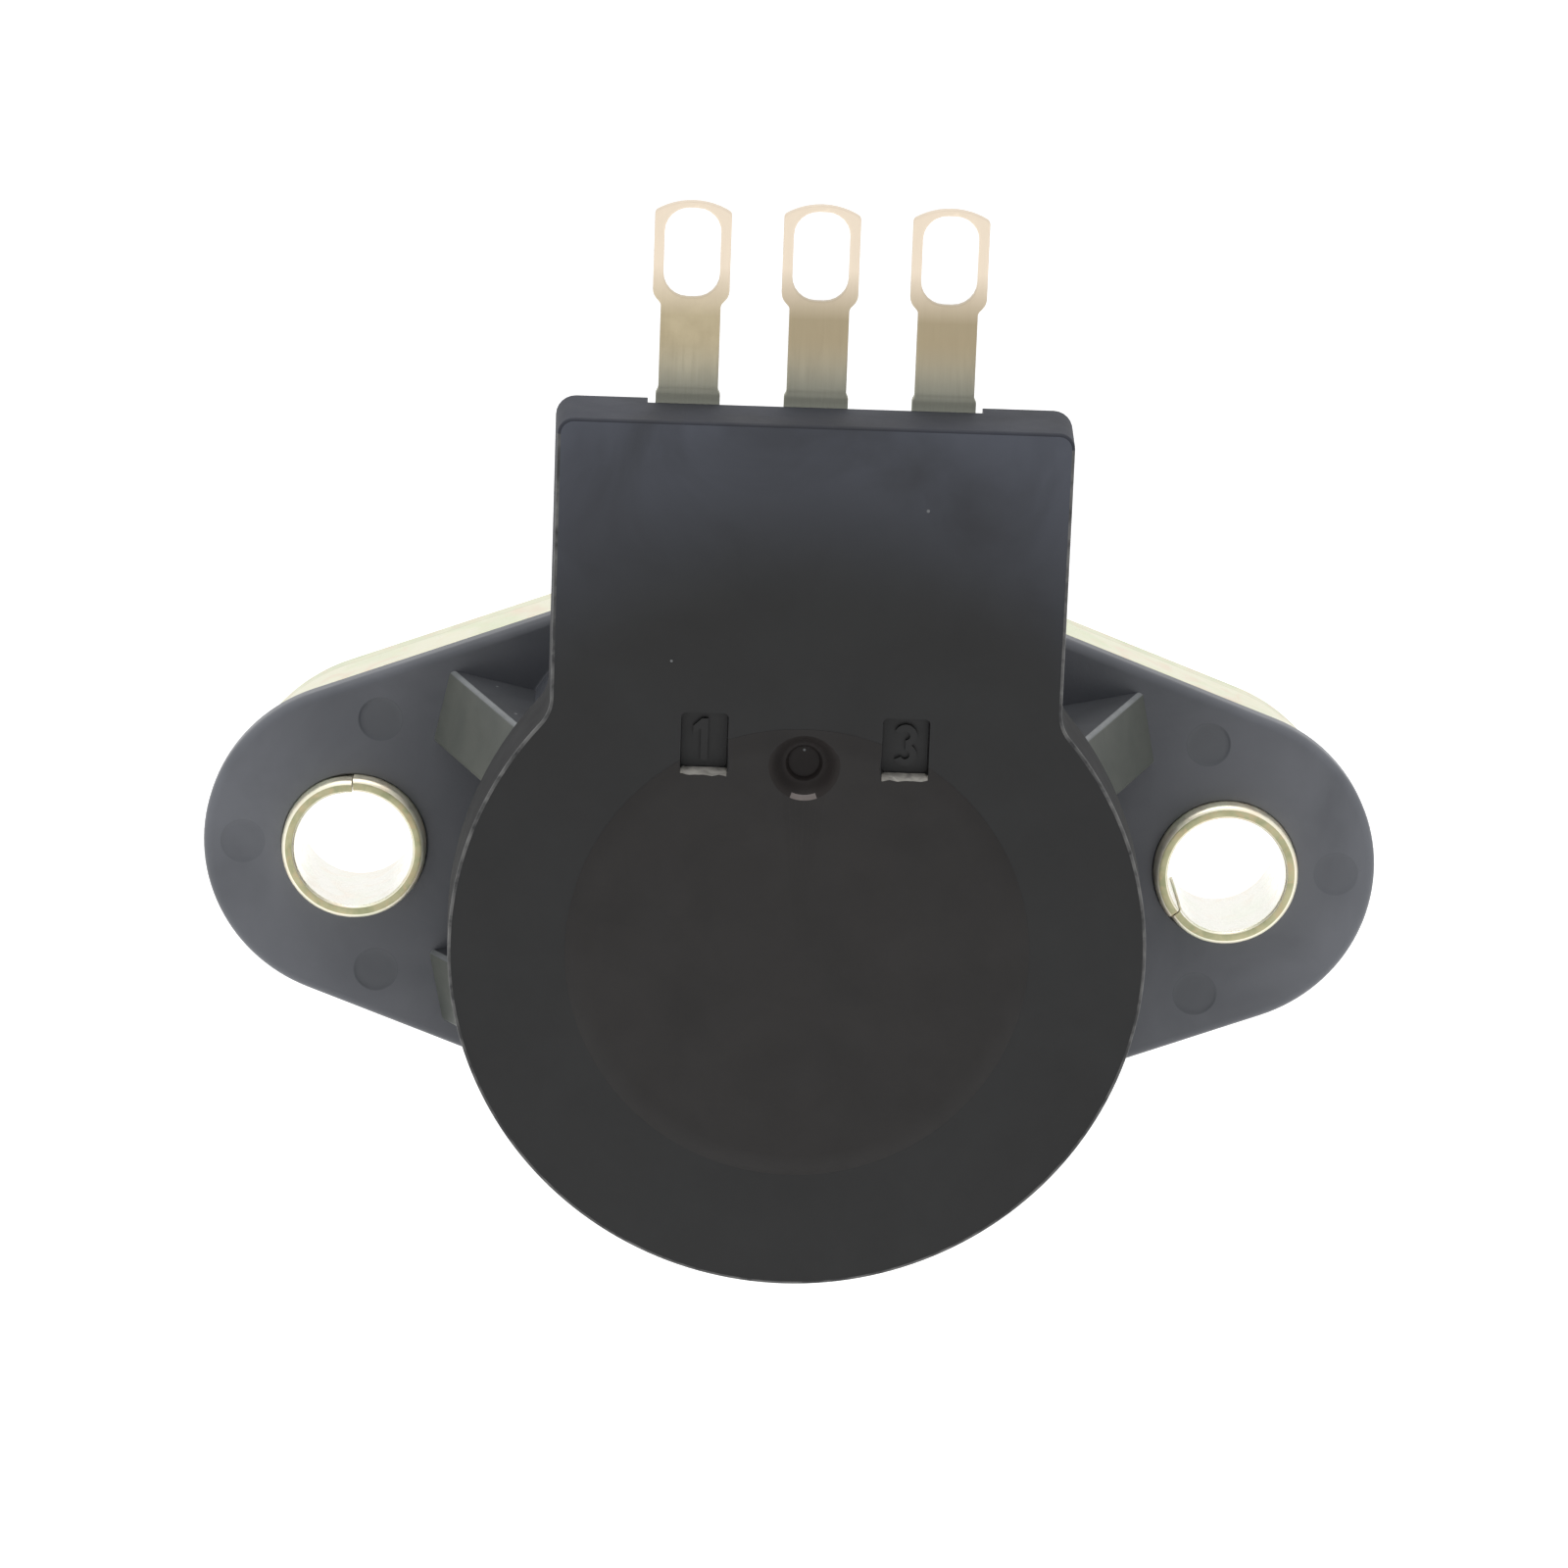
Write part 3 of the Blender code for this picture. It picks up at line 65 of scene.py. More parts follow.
# How the cup's foot curves from the flange into its wall, in shares of its size
FOOT_CURVE = ((1.0, 0.0), (0.4, 0.15), (0.12, 0.5), (0.0, 1.0))
CAVITY_RADIUS = 11.2 * MM
MOUTH_RADIUS = 12.0 * MM
ELEMENT_SEAT = -14.42 * MM
BUSH_BORE = 4.55 * MM
GUSSET_ROOT_ANGLE = radians(25.0)
GUSSET_LEAN = radians(12.0)
GUSSET_REACH = 3.2 * MM
GUSSET_HEIGHT = 7.0 * MM
GUSSET_WIDTH = 3.2 * MM
GUSSET_ROUND = 0.2 * MM
MARK_RADIUS = 0.95 * MM
MARK_DEPTH = 0.05 * MM
MARK_PLACES = ((17.5 * MM, 5.5 * MM), (17.5 * MM, -5.5 * MM), (23.225 * MM, 0.0))
# How a mark's wall curves inwards, in (share of its radius, share of its depth)
MARK_BOWL = ((1.0, 0.0), (0.94, 0.4), (0.85, 0.75), (0.7, 1.0))
POST_ANGLE = radians(28.0)
POST_DEPTH = 3.0 * MM
POST_REAR = -9.05 * MM
RIM_STEPS = 5
ROUND_STEPS = 144
SMALL_STEPS = 48
SOFT_STEPS = 6
SHARP_ANGLE = radians(32.0)
# A face is flat across the shaft where its normal has more than this of Y
ACROSS = 0.99
# Radii in mm, well outside the part
NO_PAINTED_GLARE = (100.0, 101.0)


def arc(radius, start, end, steps, x=0.0, z=0.0):
    """List the points of an arc from one angle to another, both ends included."""
    points = []
    for step in range(steps + 1):
        angle = start + (end - start) * step / steps
        points.append((x + radius * cos(angle), z + radius * sin(angle)))
    return points


def loft(rings):
    """Skin a stack of matching rings of (x, y, z) places, and close both ends."""
    bm = bmesh.new()
    loops = [[bm.verts.new(place) for place in ring] for ring in rings]
    bm.faces.new(loops[0])
    bm.faces.new(loops[-1][::-1])
    for near, far in zip(loops, loops[1:]):
        for index in range(len(near)):
            bm.faces.new((near[index], near[index - 1], far[index - 1], far[index]))
    return bm


def stack(outline_at, levels):
    """Skin insets of one outline, stacked along Y at levels of (y, inset)."""
    return loft([[(x, y, z) for x, z in outline_at(inset)] for y, inset in levels])


def prism(outline, rear, front):
    """Extrude an outline along Y."""
    return stack(lambda inset: outline, ((rear, 0.0), (front, 0.0)))


def rounded_plate(outline_at, rear, front, rear_round, front_round, draft=0.0):
    """Extrude an outline with both rims rounded, and its front larger by a draft."""
    levels = []
    for step in range(RIM_STEPS + 1):
        angle = RIGHT_ANGLE * step / RIM_STEPS
        levels.append((rear + rear_round * (1.0 - cos(angle)),
                       rear_round * (1.0 - sin(angle))))
    for step in range(RIM_STEPS + 1):
        angle = RIGHT_ANGLE * (1.0 - step / RIM_STEPS)
        levels.append((front - front_round * (1.0 - cos(angle)),
                       front_round * (1.0 - sin(angle)) - draft))
    return stack(outline_at, levels)


def turning(profile, steps, start=0.0, sweep=TURN):
    """Turn a closed profile about the Y axis, all the way round or through part of a turn."""
    bm = bmesh.new()
    whole = sweep >= TURN
    centre = {}
    for index, (radius, y) in enumerate(profile):
        if radius == 0.0:
            centre[index] = bm.verts.new((0.0, y, 0.0))
    columns = []
    for step in range(steps if whole else steps + 1):
        angle = start + sweep * step / steps
        column = []
        for index, (radius, y) in enumerate(profile):
            place = (radius * cos(angle), y, radius * sin(angle))
            column.append(centre[index] if index in centre else bm.verts.new(place))
        columns.append(column)
    for step in range(steps):
        near = columns[step]
        far = columns[(step + 1) % len(columns)]
        for index in range(len(profile)):
            loop = (near[index], near[index - 1], far[index - 1], far[index])
            corners = list(dict.fromkeys(loop))
            if len(corners) > 2:
                bm.faces.new(corners)
    if not whole:
        bm.faces.new(columns[0])
        bm.faces.new(columns[-1][::-1])
    return bm


def drilling(radius, near, far):
    """Build the form of a hole along Y that breaks its far rim."""
    out = copysign(1.0, far - near)
    return turning([
        (0.0, near - PAST * out),
        (radius, near - PAST * out),
        (radius, far - EDGE_BREAK * out),
        (radius + EDGE_BREAK, far),
        (radius + EDGE_BREAK + PAST, far + PAST * out),
        (0.0, far + PAST * out),
    ], SMALL_STEPS * 2)


def make_piece(name, bm, *finishes):
    """Close a mesh and put it in the scene as one named piece with its finishes."""
    bmesh.ops.recalc_face_normals(bm, faces=bm.faces[:])
    mesh = bpy.data.meshes.new(name)
    bm.to_mesh(mesh)
    bm.free()
    for material in finishes:
        mesh.materials.append(material)
    piece = bpy.data.objects.new(name, mesh)
    bpy.context.scene.collection.objects.link(piece)
    return piece


def work(piece, bm, operation="DIFFERENCE", place=(0.0, 0.0, 0.0), slot=None):
    """Cut a form out of a piece, or weld it on, and leave the finish of a slot there."""
    if slot is not None:
        for face in bm.faces:
            face.material_index = slot
    tool = make_piece("tool", bm)
    tool.location = place
    modifier = piece.modifiers.new("work", "BOOLEAN")
    modifier.object = tool
    modifier.operation = operation
    modifier.solver = "EXACT"
    scene_now = bpy.context.evaluated_depsgraph_get()
    mesh = bpy.data.meshes.new_from_object(piece.evaluated_get(scene_now))
    piece.modifiers.clear()
    piece.data = mesh
    bpy.data.objects.remove(tool)


def dress(piece, body, slot, *nodes):
    """Smooth a finished piece, let it ride on its body and stand for its solids."""
    bm = bmesh.new()
    bm.from_mesh(piece.data)
    bmesh.ops.dissolve_degenerate(bm, dist=1e-8, edges=bm.edges[:])
    bm.to_mesh(piece.data)
    bm.free()
    piece.data.shade_smooth()
    piece.data.set_sharp_from_angle(angle=SHARP_ANGLE)
    normals = piece.modifiers.new("even_shading", "WEIGHTED_NORMAL")
    normals.keep_sharp = True
    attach(piece, body)
    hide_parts(*nodes)


def colour(code):
    """Turn an sRGB hex code into the linear values that a shader takes."""
    channels = []
    for start in (0, 2, 4):
        value = int(code[start:start + 2], 16) / 255.0
        low = value / 12.92
        high = ((value + 0.055) / 1.055) ** 2.4
        channels.append(low if value <= 0.04045 else high)
    return (*channels, 1.0)


def add(material, kind, inputs, **settings):
    """Add a node with its own settings, fed by values, hex colours or other nodes."""
    tree = material.node_tree
    node = tree.nodes.new("ShaderNode" + kind)
    if kind == "Mix":
        node.data_type = "RGBA"
    for name, value in settings.items():
        setattr(node, name, value)
    for name, value in inputs.items():
        named = [socket for socket in node.inputs if socket.enabled and socket.name == name]
        socket = named[0] if named else node.inputs[name]
        if isinstance(value, str):
            value = colour(value)
        if isinstance(value, bpy.types.Node):
            value = next(output for output in value.outputs if output.enabled)
        if isinstance(value, bpy.types.NodeSocket):
            tree.links.new(value, socket)
        else:
            socket.default_value = value
    return node


def begin(name, roughness, metallic=0.0, ior=1.5):
    """Start a material, and give it with its shader and its object coordinates."""
    material = bpy.data.materials.new(name)
    material.use_nodes = True
    shader = material.node_tree.nodes["Principled BSDF"]
    shader.inputs["Roughness"].default_value = roughness
    shader.inputs["Metallic"].default_value = metallic
    shader.inputs["IOR"].default_value = ior
    place = add(material, "TexCoord", {}).outputs["Object"]
    return material, shader, place


def feed(material, shader, **nodes):
    """Link nodes to the shader's sockets of the same names, written with _ for a space."""
    for name, node in nodes.items():
        output = next(output for output in node.outputs if output.enabled)
        material.node_tree.links.new(output, shader.inputs[name.replace("_", " ")])


def finish(material, shader, body, patches, smooth, rough, relief=None, depth_mm=0.0):
    """Give a shader its colour, a gloss that varies with some patches, and a fine relief."""
    gloss = add(material, "MapRange", {
        "Value": patches, "From Min": 0.3, "From Max": 0.7, "To Min": smooth, "To Max": rough,
    })
    feed(material, shader, Base_Color=body, Roughness=gloss)
    if relief is not None:
        bump = add(material, "Bump", {"Height": relief, "Distance": depth_mm * MM})
        feed(material, shader, Normal=bump)


def moulded(name, dark, light, roughness, flow_mm, grain_mm, depth_mm, ior=1.5,
            painted_glare="000000", painted_glare_mm=NO_PAINTED_GLARE):
    """Moulded plastic: flow patches, fine grain, specks, and a painted glare between two radii."""
    material, shader, place = begin(name, roughness, ior=ior)
    flow = add(material, "TexNoise", {
        "Vector": place, "Scale": 1.0 / (flow_mm * MM), "Detail": 4.0, "Distortion": 0.6,
    })
    patches = add(material, "MapRange", {"Value": flow, "From Min": 0.36, "From Max": 0.64})
    body = add(material, "Mix", {"Factor": patches, "A": dark, "B": light})
    # Painted glare: a paler colour grows in patches with the distance from the shaft's axis
    flat = add(material, "VectorMath", {0: place, 1: (1.0, 0.0, 1.0)}, operation="MULTIPLY")
    reach = add(material, "VectorMath", {0: flat}, operation="LENGTH")
    glare_ramp = add(material, "MapRange", {
        "Value": reach, "From Min": painted_glare_mm[0] * MM, "From Max": painted_glare_mm[1] * MM,
    }, interpolation_type="SMOOTHSTEP")
    uneven = add(material, "MapRange", {
        "Value": flow, "From Min": 0.3, "From Max": 0.6, "To Min": 0.55, "To Max": 1.0,
    })
    share = add(material, "Math", {0: glare_ramp, 1: uneven}, operation="MULTIPLY")
    glare_painted_body = add(material, "Mix", {"Factor": share, "A": body, "B": painted_glare})
    # Dust and nicks: one cell of 0.9 mm in forty holds a speck that reaches 0.08 of a cell out
    cells = add(material, "TexVoronoi", {"Vector": place, "Scale": 1.0 / (0.9 * MM)})
    chosen = add(material, "SeparateColor", {"Color": cells.outputs["Color"]})
    rare = add(material, "Math", {0: chosen.outputs["Red"], 1: 0.975}, operation="GREATER_THAN")
    small = add(material, "Math", {0: cells.outputs["Distance"], 1: 0.08}, operation="LESS_THAN")
    dust = add(material, "Math", {0: rare, 1: small}, operation="MULTIPLY")
    dusty = add(material, "Mix", {"Factor": dust, "A": glare_painted_body, "B": "77797B"})
    handled = add(material, "TexNoise", {
        "Vector": place, "Scale": 1.0 / (2.5 * MM), "Detail": 5.0, "Roughness": 0.65,
    })
    grain = add(material, "TexNoise", {
        "Vector": place, "Scale": 1.0 / (grain_mm * MM), "Detail": 2.0, "Roughness": 0.5,
    })
    finish(material, shader, dusty, handled, roughness - 0.05, roughness + 0.06, grain, depth_mm)
    return material


# Glass-filled PBT off a polished mould: near-black, cool, with a soft sheen that its glass
# fibres cloud. Its grain is 0.12 mm, some three fibres wide, so that it shows.
# Towards the ears' ends its colour pales to a bluish grey: a painted glare
housing_pbt = moulded("black_glass_filled_pbt", "42454B", "4E5056", 0.38, flow_mm=6.0,
                      grain_mm=0.12, depth_mm=0.0035, ior=1.52, painted_glare="787B82",
                      painted_glare_mm=(12.5, 28.0))
# The ejector pins' faces are ground, so the plastic comes off them a little smoother and darker
# Towards the ears' ends the marks pale with the same painted glare
pin_pbt = moulded("pin_polished_pbt", "3F4248", "494C51", 0.34, flow_mm=6.0,
                  grain_mm=0.2, depth_mm=0.001, ior=1.52, painted_glare="70737A", painted_glare_mm=(15.0, 27.0))
# The gussets' slopes are painted greyer, with a faint warmth: painted light on faces that turn up
# to the lamp
painted_light_on_pbt = moulded("painted_light_on_pbt_slope", "565A55", "636660", 0.42, flow_mm=3.0,
                    grain_mm=0.12, depth_mm=0.003, ior=1.52)
# The gussets' sides are matt, and painted dark: painted shade
painted_shade_on_pbt = moulded("matt_painted_shade_on_pbt", "2A2C30", "34363A", 0.6, flow_mm=3.0,
                    grain_mm=0.12, depth_mm=0.004, ior=1.48)
# Their upper edges are painted a pale line: a painted highlight
painted_highlight_on_pbt = moulded("painted_highlight_on_pbt_edge", "717475", "7D8082", 0.4, flow_mm=1.0,
                     grain_mm=0.12, depth_mm=0.003)


def flange_outline(inset, ear_offset=EAR_OFFSET, ear_radius=EAR_RADIUS):
    """List the outline of two ears that run in straight tangents to a round middle."""
    tangent = acos((HUB_RADIUS - ear_radius) / ear_offset)
    ear = ear_radius - inset
    hub = HUB_RADIUS - inset
    points = arc(ear, -tangent, tangent, SMALL_STEPS, ear_offset)
    points += arc(hub, tangent, pi - tangent, SMALL_STEPS)
    points += arc(ear, pi - tangent, pi + tangent, SMALL_STEPS, -ear_offset)
    points += arc(hub, pi + tangent, TURN - tangent, SMALL_STEPS)
    return points


HOUSING_FINISHES = (housing_pbt, pin_pbt, painted_light_on_pbt, painted_shade_on_pbt, painted_highlight_on_pbt)


def gusset(side, up):
    """Build one gusset as a wedge, its slope's long edges rounded, with painted light on its
    slope, a painted highlight on its rounded edges and painted shade on its sides.
    """
    slope = GUSSET_HEIGHT / GUSSET_REACH
    wedge = [
        (-PAST, FLANGE_REAR + PAST),
        (GUSSET_REACH + PAST / slope, FLANGE_REAR + PAST),
        (-PAST, FLANGE_REAR - GUSSET_HEIGHT - PAST * slope),
    ]
    root_x = CUP_RADIUS * cos(GUSSET_ROOT_ANGLE)
    root_z = CUP_RADIUS * sin(GUSSET_ROOT_ANGLE)
    along_x = cos(GUSSET_LEAN)
    along_z = sin(GUSSET_LEAN)
    faces = []
    for across in (-GUSSET_WIDTH / 2.0, GUSSET_WIDTH / 2.0):
        face = []
        for reach, y in wedge:
            x = root_x + along_x * reach - along_z * across
            z = root_z + along_z * reach + along_x * across
            face.append((side * x, y, up * z))
        faces.append(face)
    bm = loft(faces)
    bm.verts.ensure_lookup_table()
    sloped = [bm.edges.get((bm.verts[1], bm.verts[2])), bm.edges.get((bm.verts[4], bm.verts[5]))]
    bmesh.ops.bevel(bm, geom=sloped, offset=GUSSET_ROUND, segments=RIM_STEPS, profile=0.5,
                    affect="EDGES")
    bmesh.ops.recalc_face_normals(bm, faces=bm.faces[:])
    # A face's lean is 1 on the slope, 0 on the sides, and in between on the rounded edges
    slope_lean = -GUSSET_REACH / hypot(GUSSET_REACH, GUSSET_HEIGHT)
    # The slope takes painted light, the rounded edges a painted highlight, the sides painted shade
    for face in bm.faces:
        lean = face.normal.y / slope_lean
        if lean > 0.94 or lean > 0.05 and face.normal.z < 0.0:
            face.material_index = HOUSING_FINISHES.index(painted_light_on_pbt)
        elif lean > 0.05:
            face.material_index = HOUSING_FINISHES.index(painted_highlight_on_pbt)
        elif lean > -0.02:
            face.material_index = HOUSING_FINISHES.index(painted_shade_on_pbt)
    return bm


housing = make_piece(
    "moulded_housing",
    rounded_plate(flange_outline, FLANGE_REAR, FLANGE_FRONT, FLANGE_ROUND, EDGE_BREAK),
    *HOUSING_FINISHES,
)
work(housing, turning([
    (0.0, FLANGE_REAR + PAST),
    (CUP_RADIUS + CUP_FOOT, FLANGE_REAR + PAST),
    *((CUP_RADIUS + out * CUP_FOOT, FLANGE_REAR - back * CUP_FOOT) for out, back in FOOT_CURVE),
    (CUP_RADIUS, CUP_REAR + EDGE_BREAK),
    (CUP_RADIUS - EDGE_BREAK, CUP_REAR),
    (0.0, CUP_REAR),
], ROUND_STEPS), "UNION")
for side in (-1.0, 1.0):
    for up in (-1.0, 1.0):
        work(housing, gusset(side, up), "UNION")
work(housing, turning([
    (0.0, FLANGE_FRONT + PAST),
    (BUSH_BORE, FLANGE_FRONT + PAST),
    (BUSH_BORE, FLANGE_REAR),
    (CAVITY_RADIUS, FLANGE_REAR),
    (CAVITY_RADIUS, ELEMENT_SEAT),
    (MOUTH_RADIUS, ELEMENT_SEAT),
    (MOUTH_RADIUS, CUP_REAR - PAST),
    (0.0, CUP_REAR - PAST),
], ROUND_STEPS))
for side in (-1.0, 1.0):
    work(housing, drilling(HOLE_RADIUS, FLANGE_FRONT, FLANGE_REAR),
         place=(side * HOLE_OFFSET, 0.0, 0.0))
    for x, z in MARK_PLACES:
        work(housing, turning([
            (0.0, FLANGE_REAR - PAST),
            (MARK_RADIUS, FLANGE_REAR - PAST),
            *((share * MARK_RADIUS, FLANGE_REAR + sink * MARK_DEPTH) for share, sink in MARK_BOWL),
            (0.0, FLANGE_REAR + MARK_DEPTH),
        ], SMALL_STEPS), place=(side * x, 0.0, z), slot=HOUSING_FINISHES.index(pin_pbt))
post_low = -RIGHT_ANGLE - POST_ANGLE / 2.0
post_high = -RIGHT_ANGLE + POST_ANGLE / 2.0
post = arc(CAVITY_RADIUS + PAST, post_low, post_high, SMALL_STEPS)
post += arc(CAVITY_RADIUS - POST_DEPTH, post_high, post_low, SMALL_STEPS)
work(housing, prism(post, POST_REAR, FLANGE_REAR + PAST), "UNION")
dress(housing, "case", "black_moulding", "housing")

# Mounting plate: blanked from 3.7 mm steel strip and zinc-plated, its ears a little shorter than
# the flange's. Its edge shows the punch's way: next to the plastic it is rounded and burnished,
# then comes the line where the steel tore, and from there to the front it is duller and set back.
PLATE_REAR = -3.7 * MM
PLATE_EAR_OFFSET = 16.5 * MM
PLATE_EAR_RADIUS = 7.425 * MM
PILOT_BORE = 6.05 * MM
TEAR = -1.25 * MM
TEAR_BAND = 0.1 * MM
TEAR_INSET = 0.06 * MM
# How the punch rolled the rear rim over, in (depth, inset)
PUNCH_ROLL = ((0.0, 0.1 * MM), (0.03 * MM, 0.045 * MM), (0.08 * MM, 0.012 * MM), (0.15 * MM, 0.0))
PLATE_FRONT_ROUND = (0.1 * MM, 0.15 * MM)


def plated(name, straw, green, pink, roughness, cloud_mm, line_depth_mm):
    """Yellow-passivated zinc: pale straw metal with clouds of green and pink, and dull spots."""
    material, shader, place = begin(name, roughness, metallic=1.0)
    cloud = add(material, "TexNoise", {
        "Vector": place, "Scale": 1.0 / (cloud_mm * MM), "Detail": 3.0, "Distortion": 0.8,
    })
    other = add(material, "TexNoise", {
        "Vector": place, "W": 3.7, "Scale": 1.0 / (0.6 * cloud_mm * MM), "Detail": 2.0,
        "Distortion": 1.2,
    }, noise_dimensions="4D")
    green_share = add(material, "MapRange", {"Value": cloud, "From Min": 0.45, "From Max": 0.66})
    pink_share = add(material, "MapRange", {"Value": other, "From Min": 0.5, "From Max": 0.7})
    tinted = add(material, "Mix", {"Factor": green_share, "A": straw, "B": green})
    clouded = add(material, "Mix", {"Factor": pink_share, "A": tinted, "B": pink})
    dull = add(material, "TexNoise", {
        "Vector": place, "Scale": 1.0 / (0.5 * MM), "Detail": 4.0, "Roughness": 0.7,
    })
    # Sheared steel under the plating: lines along the punch's stroke, drawn 0.15 mm apart to show
    stroke = add(material, "Mapping", {"Vector": place, "Scale": (1.0, 0.06, 1.0)})
    lines = add(material, "TexNoise", {
        "Vector": stroke, "Scale": 1.0 / (0.15 * MM), "Detail": 2.0,
    })
    finish(material, shader, clouded, dull, roughness - 0.06, roughness + 0.1,
           lines, line_depth_mm)
    return material


# Zinc with yellow passivation, barrel-plated: a soft metal shine, straw with rainbow clouds
plate_zinc = plated("yellow_zinc_plated_steel", "ECEAD3", "E2E6C9", "EBDFC9", 0.32, 3.0, 0.003)
# The same coat on torn steel: duller and greener, and where the tear begins a painted shade line,
# almost olive
torn_zinc = plated("yellow_zinc_on_torn_steel", "E3E3CB", "D6DCC0", "E3DAC4", 0.42, 1.5, 0.008)
tear_zinc_with_painted_shade = plated("yellow_zinc_with_painted_shade_in_the_tear", "D0D0B6", "C4C9AC", "D0C8AF", 0.46, 1.0, 0.006)
PLATE_FINISHES = (plate_zinc, torn_zinc, tear_zinc_with_painted_shade)

plate = make_piece(
    "blanked_mounting_plate",
    stack(lambda inset: flange_outline(inset, PLATE_EAR_OFFSET, PLATE_EAR_RADIUS), [
        *((PLATE_REAR + depth, inset) for depth, inset in PUNCH_ROLL),
        (TEAR - TEAR_BAND, 0.0),
        (TEAR, 0.15 * TEAR_INSET),
        (TEAR + TEAR_BAND, TEAR_INSET),
        (-PLATE_FRONT_ROUND[0], 1.3 * TEAR_INSET),
        (0.0, PLATE_FRONT_ROUND[1]),
    ]),
    *PLATE_FINISHES,
)
for face in plate.data.polygons:
    if abs(face.normal.y) < ACROSS and face.center.y > TEAR - TEAR_BAND:
        # Along the tear the edge carries the painted shade line
        edge_finish = tear_zinc_with_painted_shade if face.center.y < TEAR else torn_zinc
        face.material_index = PLATE_FINISHES.index(edge_finish)
for x, hole in ((0.0, PILOT_BORE), (-HOLE_OFFSET, HOLE_RADIUS), (HOLE_OFFSET, HOLE_RADIUS)):
    work(plate, drilling(hole, PLATE_REAR, 0.0), place=(x, 0.0, 0.0))
dress(plate, "case", "yellow_zinc", "mounting_plate")

# Collars: sleeves rolled from the same plated steel, pressed through the plate and the ears.
# They take the screws' pull off the plastic. Each has a split where the strip's ends meet, and
# one end of the strip stays a little straighter than the rest of the roll.
COLLAR_RADIUS = 3.05 * MM
COLLAR_WALL = 0.55 * MM
COLLAR_FRONT = -0.3 * MM
COLLAR_REAR = -5.65 * MM
COLLAR_OUTER_ROUND = 0.24 * MM
COLLAR_INNER_ROUND = 0.14 * MM
COLLAR_SPLIT = 0.07 * MM
STRAIGHT_END = radians(38.0)
STRAIGHT_PULL = 0.1 * MM
BORE_MARGIN = 0.02 * MM
# The rounded rims count as sheared edge where their normal has more than this of Y
RIM_SHARE = 0.95

# Strip that was plated bright and then rolled: paler and cleaner than the plate
collar_zinc = plated("rolled_yellow_zinc_steel", "F5F0DD", "ECEDD6", "F4E8D2", 0.5, 2.4, 0.001)
# Inside the roll the coat was burnished by the mandrel: almost white, with a soft mirror's shine
bore_zinc = plated("burnished_zinc_in_the_bore", "FBF9F1", "F7F8EC", "FAF4E8", 0.24, 2.4, 0.0005)
# The strip's sheared edges took less of the coat and aged to a dull olive
edge_zinc = plated("aged_zinc_on_the_strip_edge", "B7B391", "A3A583", "BFB08E", 0.5, 0.8, 0.004)
COLLAR_FINISHES = (collar_zinc, bore_zinc, edge_zinc)


def collar_profile():
    """List the sleeve's section, with a full round outside each rim and a smaller one inside."""
    inner = COLLAR_RADIUS - COLLAR_WALL
    points = []
    for x, y, radius, start in (
        (COLLAR_RADIUS - COLLAR_OUTER_ROUND, COLLAR_REAR + COLLAR_OUTER_ROUND,
         COLLAR_OUTER_ROUND, TURN),
        (inner + COLLAR_INNER_ROUND, COLLAR_REAR + COLLAR_INNER_ROUND,
         COLLAR_INNER_ROUND, TURN - RIGHT_ANGLE),
        (inner + COLLAR_INNER_ROUND, COLLAR_FRONT - COLLAR_INNER_ROUND,
         COLLAR_INNER_ROUND, pi),
        (COLLAR_RADIUS - COLLAR_OUTER_ROUND, COLLAR_FRONT - COLLAR_OUTER_ROUND,
         COLLAR_OUTER_ROUND, RIGHT_ANGLE),
    ):
        points += arc(radius, start, start - RIGHT_ANGLE, RIM_STEPS, x, y)
    return points


for name, side, split, node in (
    ("left_rolled_collar", -1.0, radians(92.0), "left_collar"),
    ("right_rolled_collar", 1.0, radians(220.0), "right_collar"),
):
    opening = COLLAR_SPLIT / COLLAR_RADIUS
    bm = turning(collar_profile(), SMALL_STEPS * 2, split + opening / 2.0, TURN - opening)
    for vertex in bm.verts:
        angle = (atan2(vertex.co.z, vertex.co.x) - split) % TURN
        pull = STRAIGHT_PULL * max(0.0, 1.0 - angle / STRAIGHT_END) ** 2
        reach = hypot(vertex.co.x, vertex.co.z)
        vertex.co.x *= 1.0 - pull / reach
        vertex.co.z *= 1.0 - pull / reach
        vertex.co.x += side * HOLE_OFFSET
    bmesh.ops.recalc_face_normals(bm, faces=bm.faces[:])
    for face in bm.faces:
        middle = face.calc_center_median()
        reach = hypot(middle.x - side * HOLE_OFFSET, middle.z)
        if abs(face.normal.y) > RIM_SHARE:
            face.material_index = COLLAR_FINISHES.index(edge_zinc)
        elif reach < COLLAR_RADIUS - COLLAR_WALL + BORE_MARGIN:
            face.material_index = COLLAR_FINISHES.index(bore_zinc)
    dress(make_piece(name, bm, *COLLAR_FINISHES), "case", "collar_zinc", node)

# Rear cover: round over the cup, with the square terminal block on top, moulded in one.
# A softer, matter plastic than the housing's. The middle is a low round field for a label, and two
# small windows show the terminal numbers. The gate's stub sits sunk in a dimple between them.
COVER_RADIUS = 14.0 * MM
COVER_FRONT = -15.32 * MM
COVER_REAR = -19.32 * MM
COVER_ROUND = 0.13 * MM
COVER_DRAFT = 0.14 * MM
BLOCK_HALF = 10.15 * MM
BLOCK_TOP = 21.56 * MM
BLOCK_CORNER = 0.65 * MM
NECK_FILLET = 1.6 * MM
LABEL_RADIUS = 9.3 * MM
LABEL_FACE = -19.57 * MM
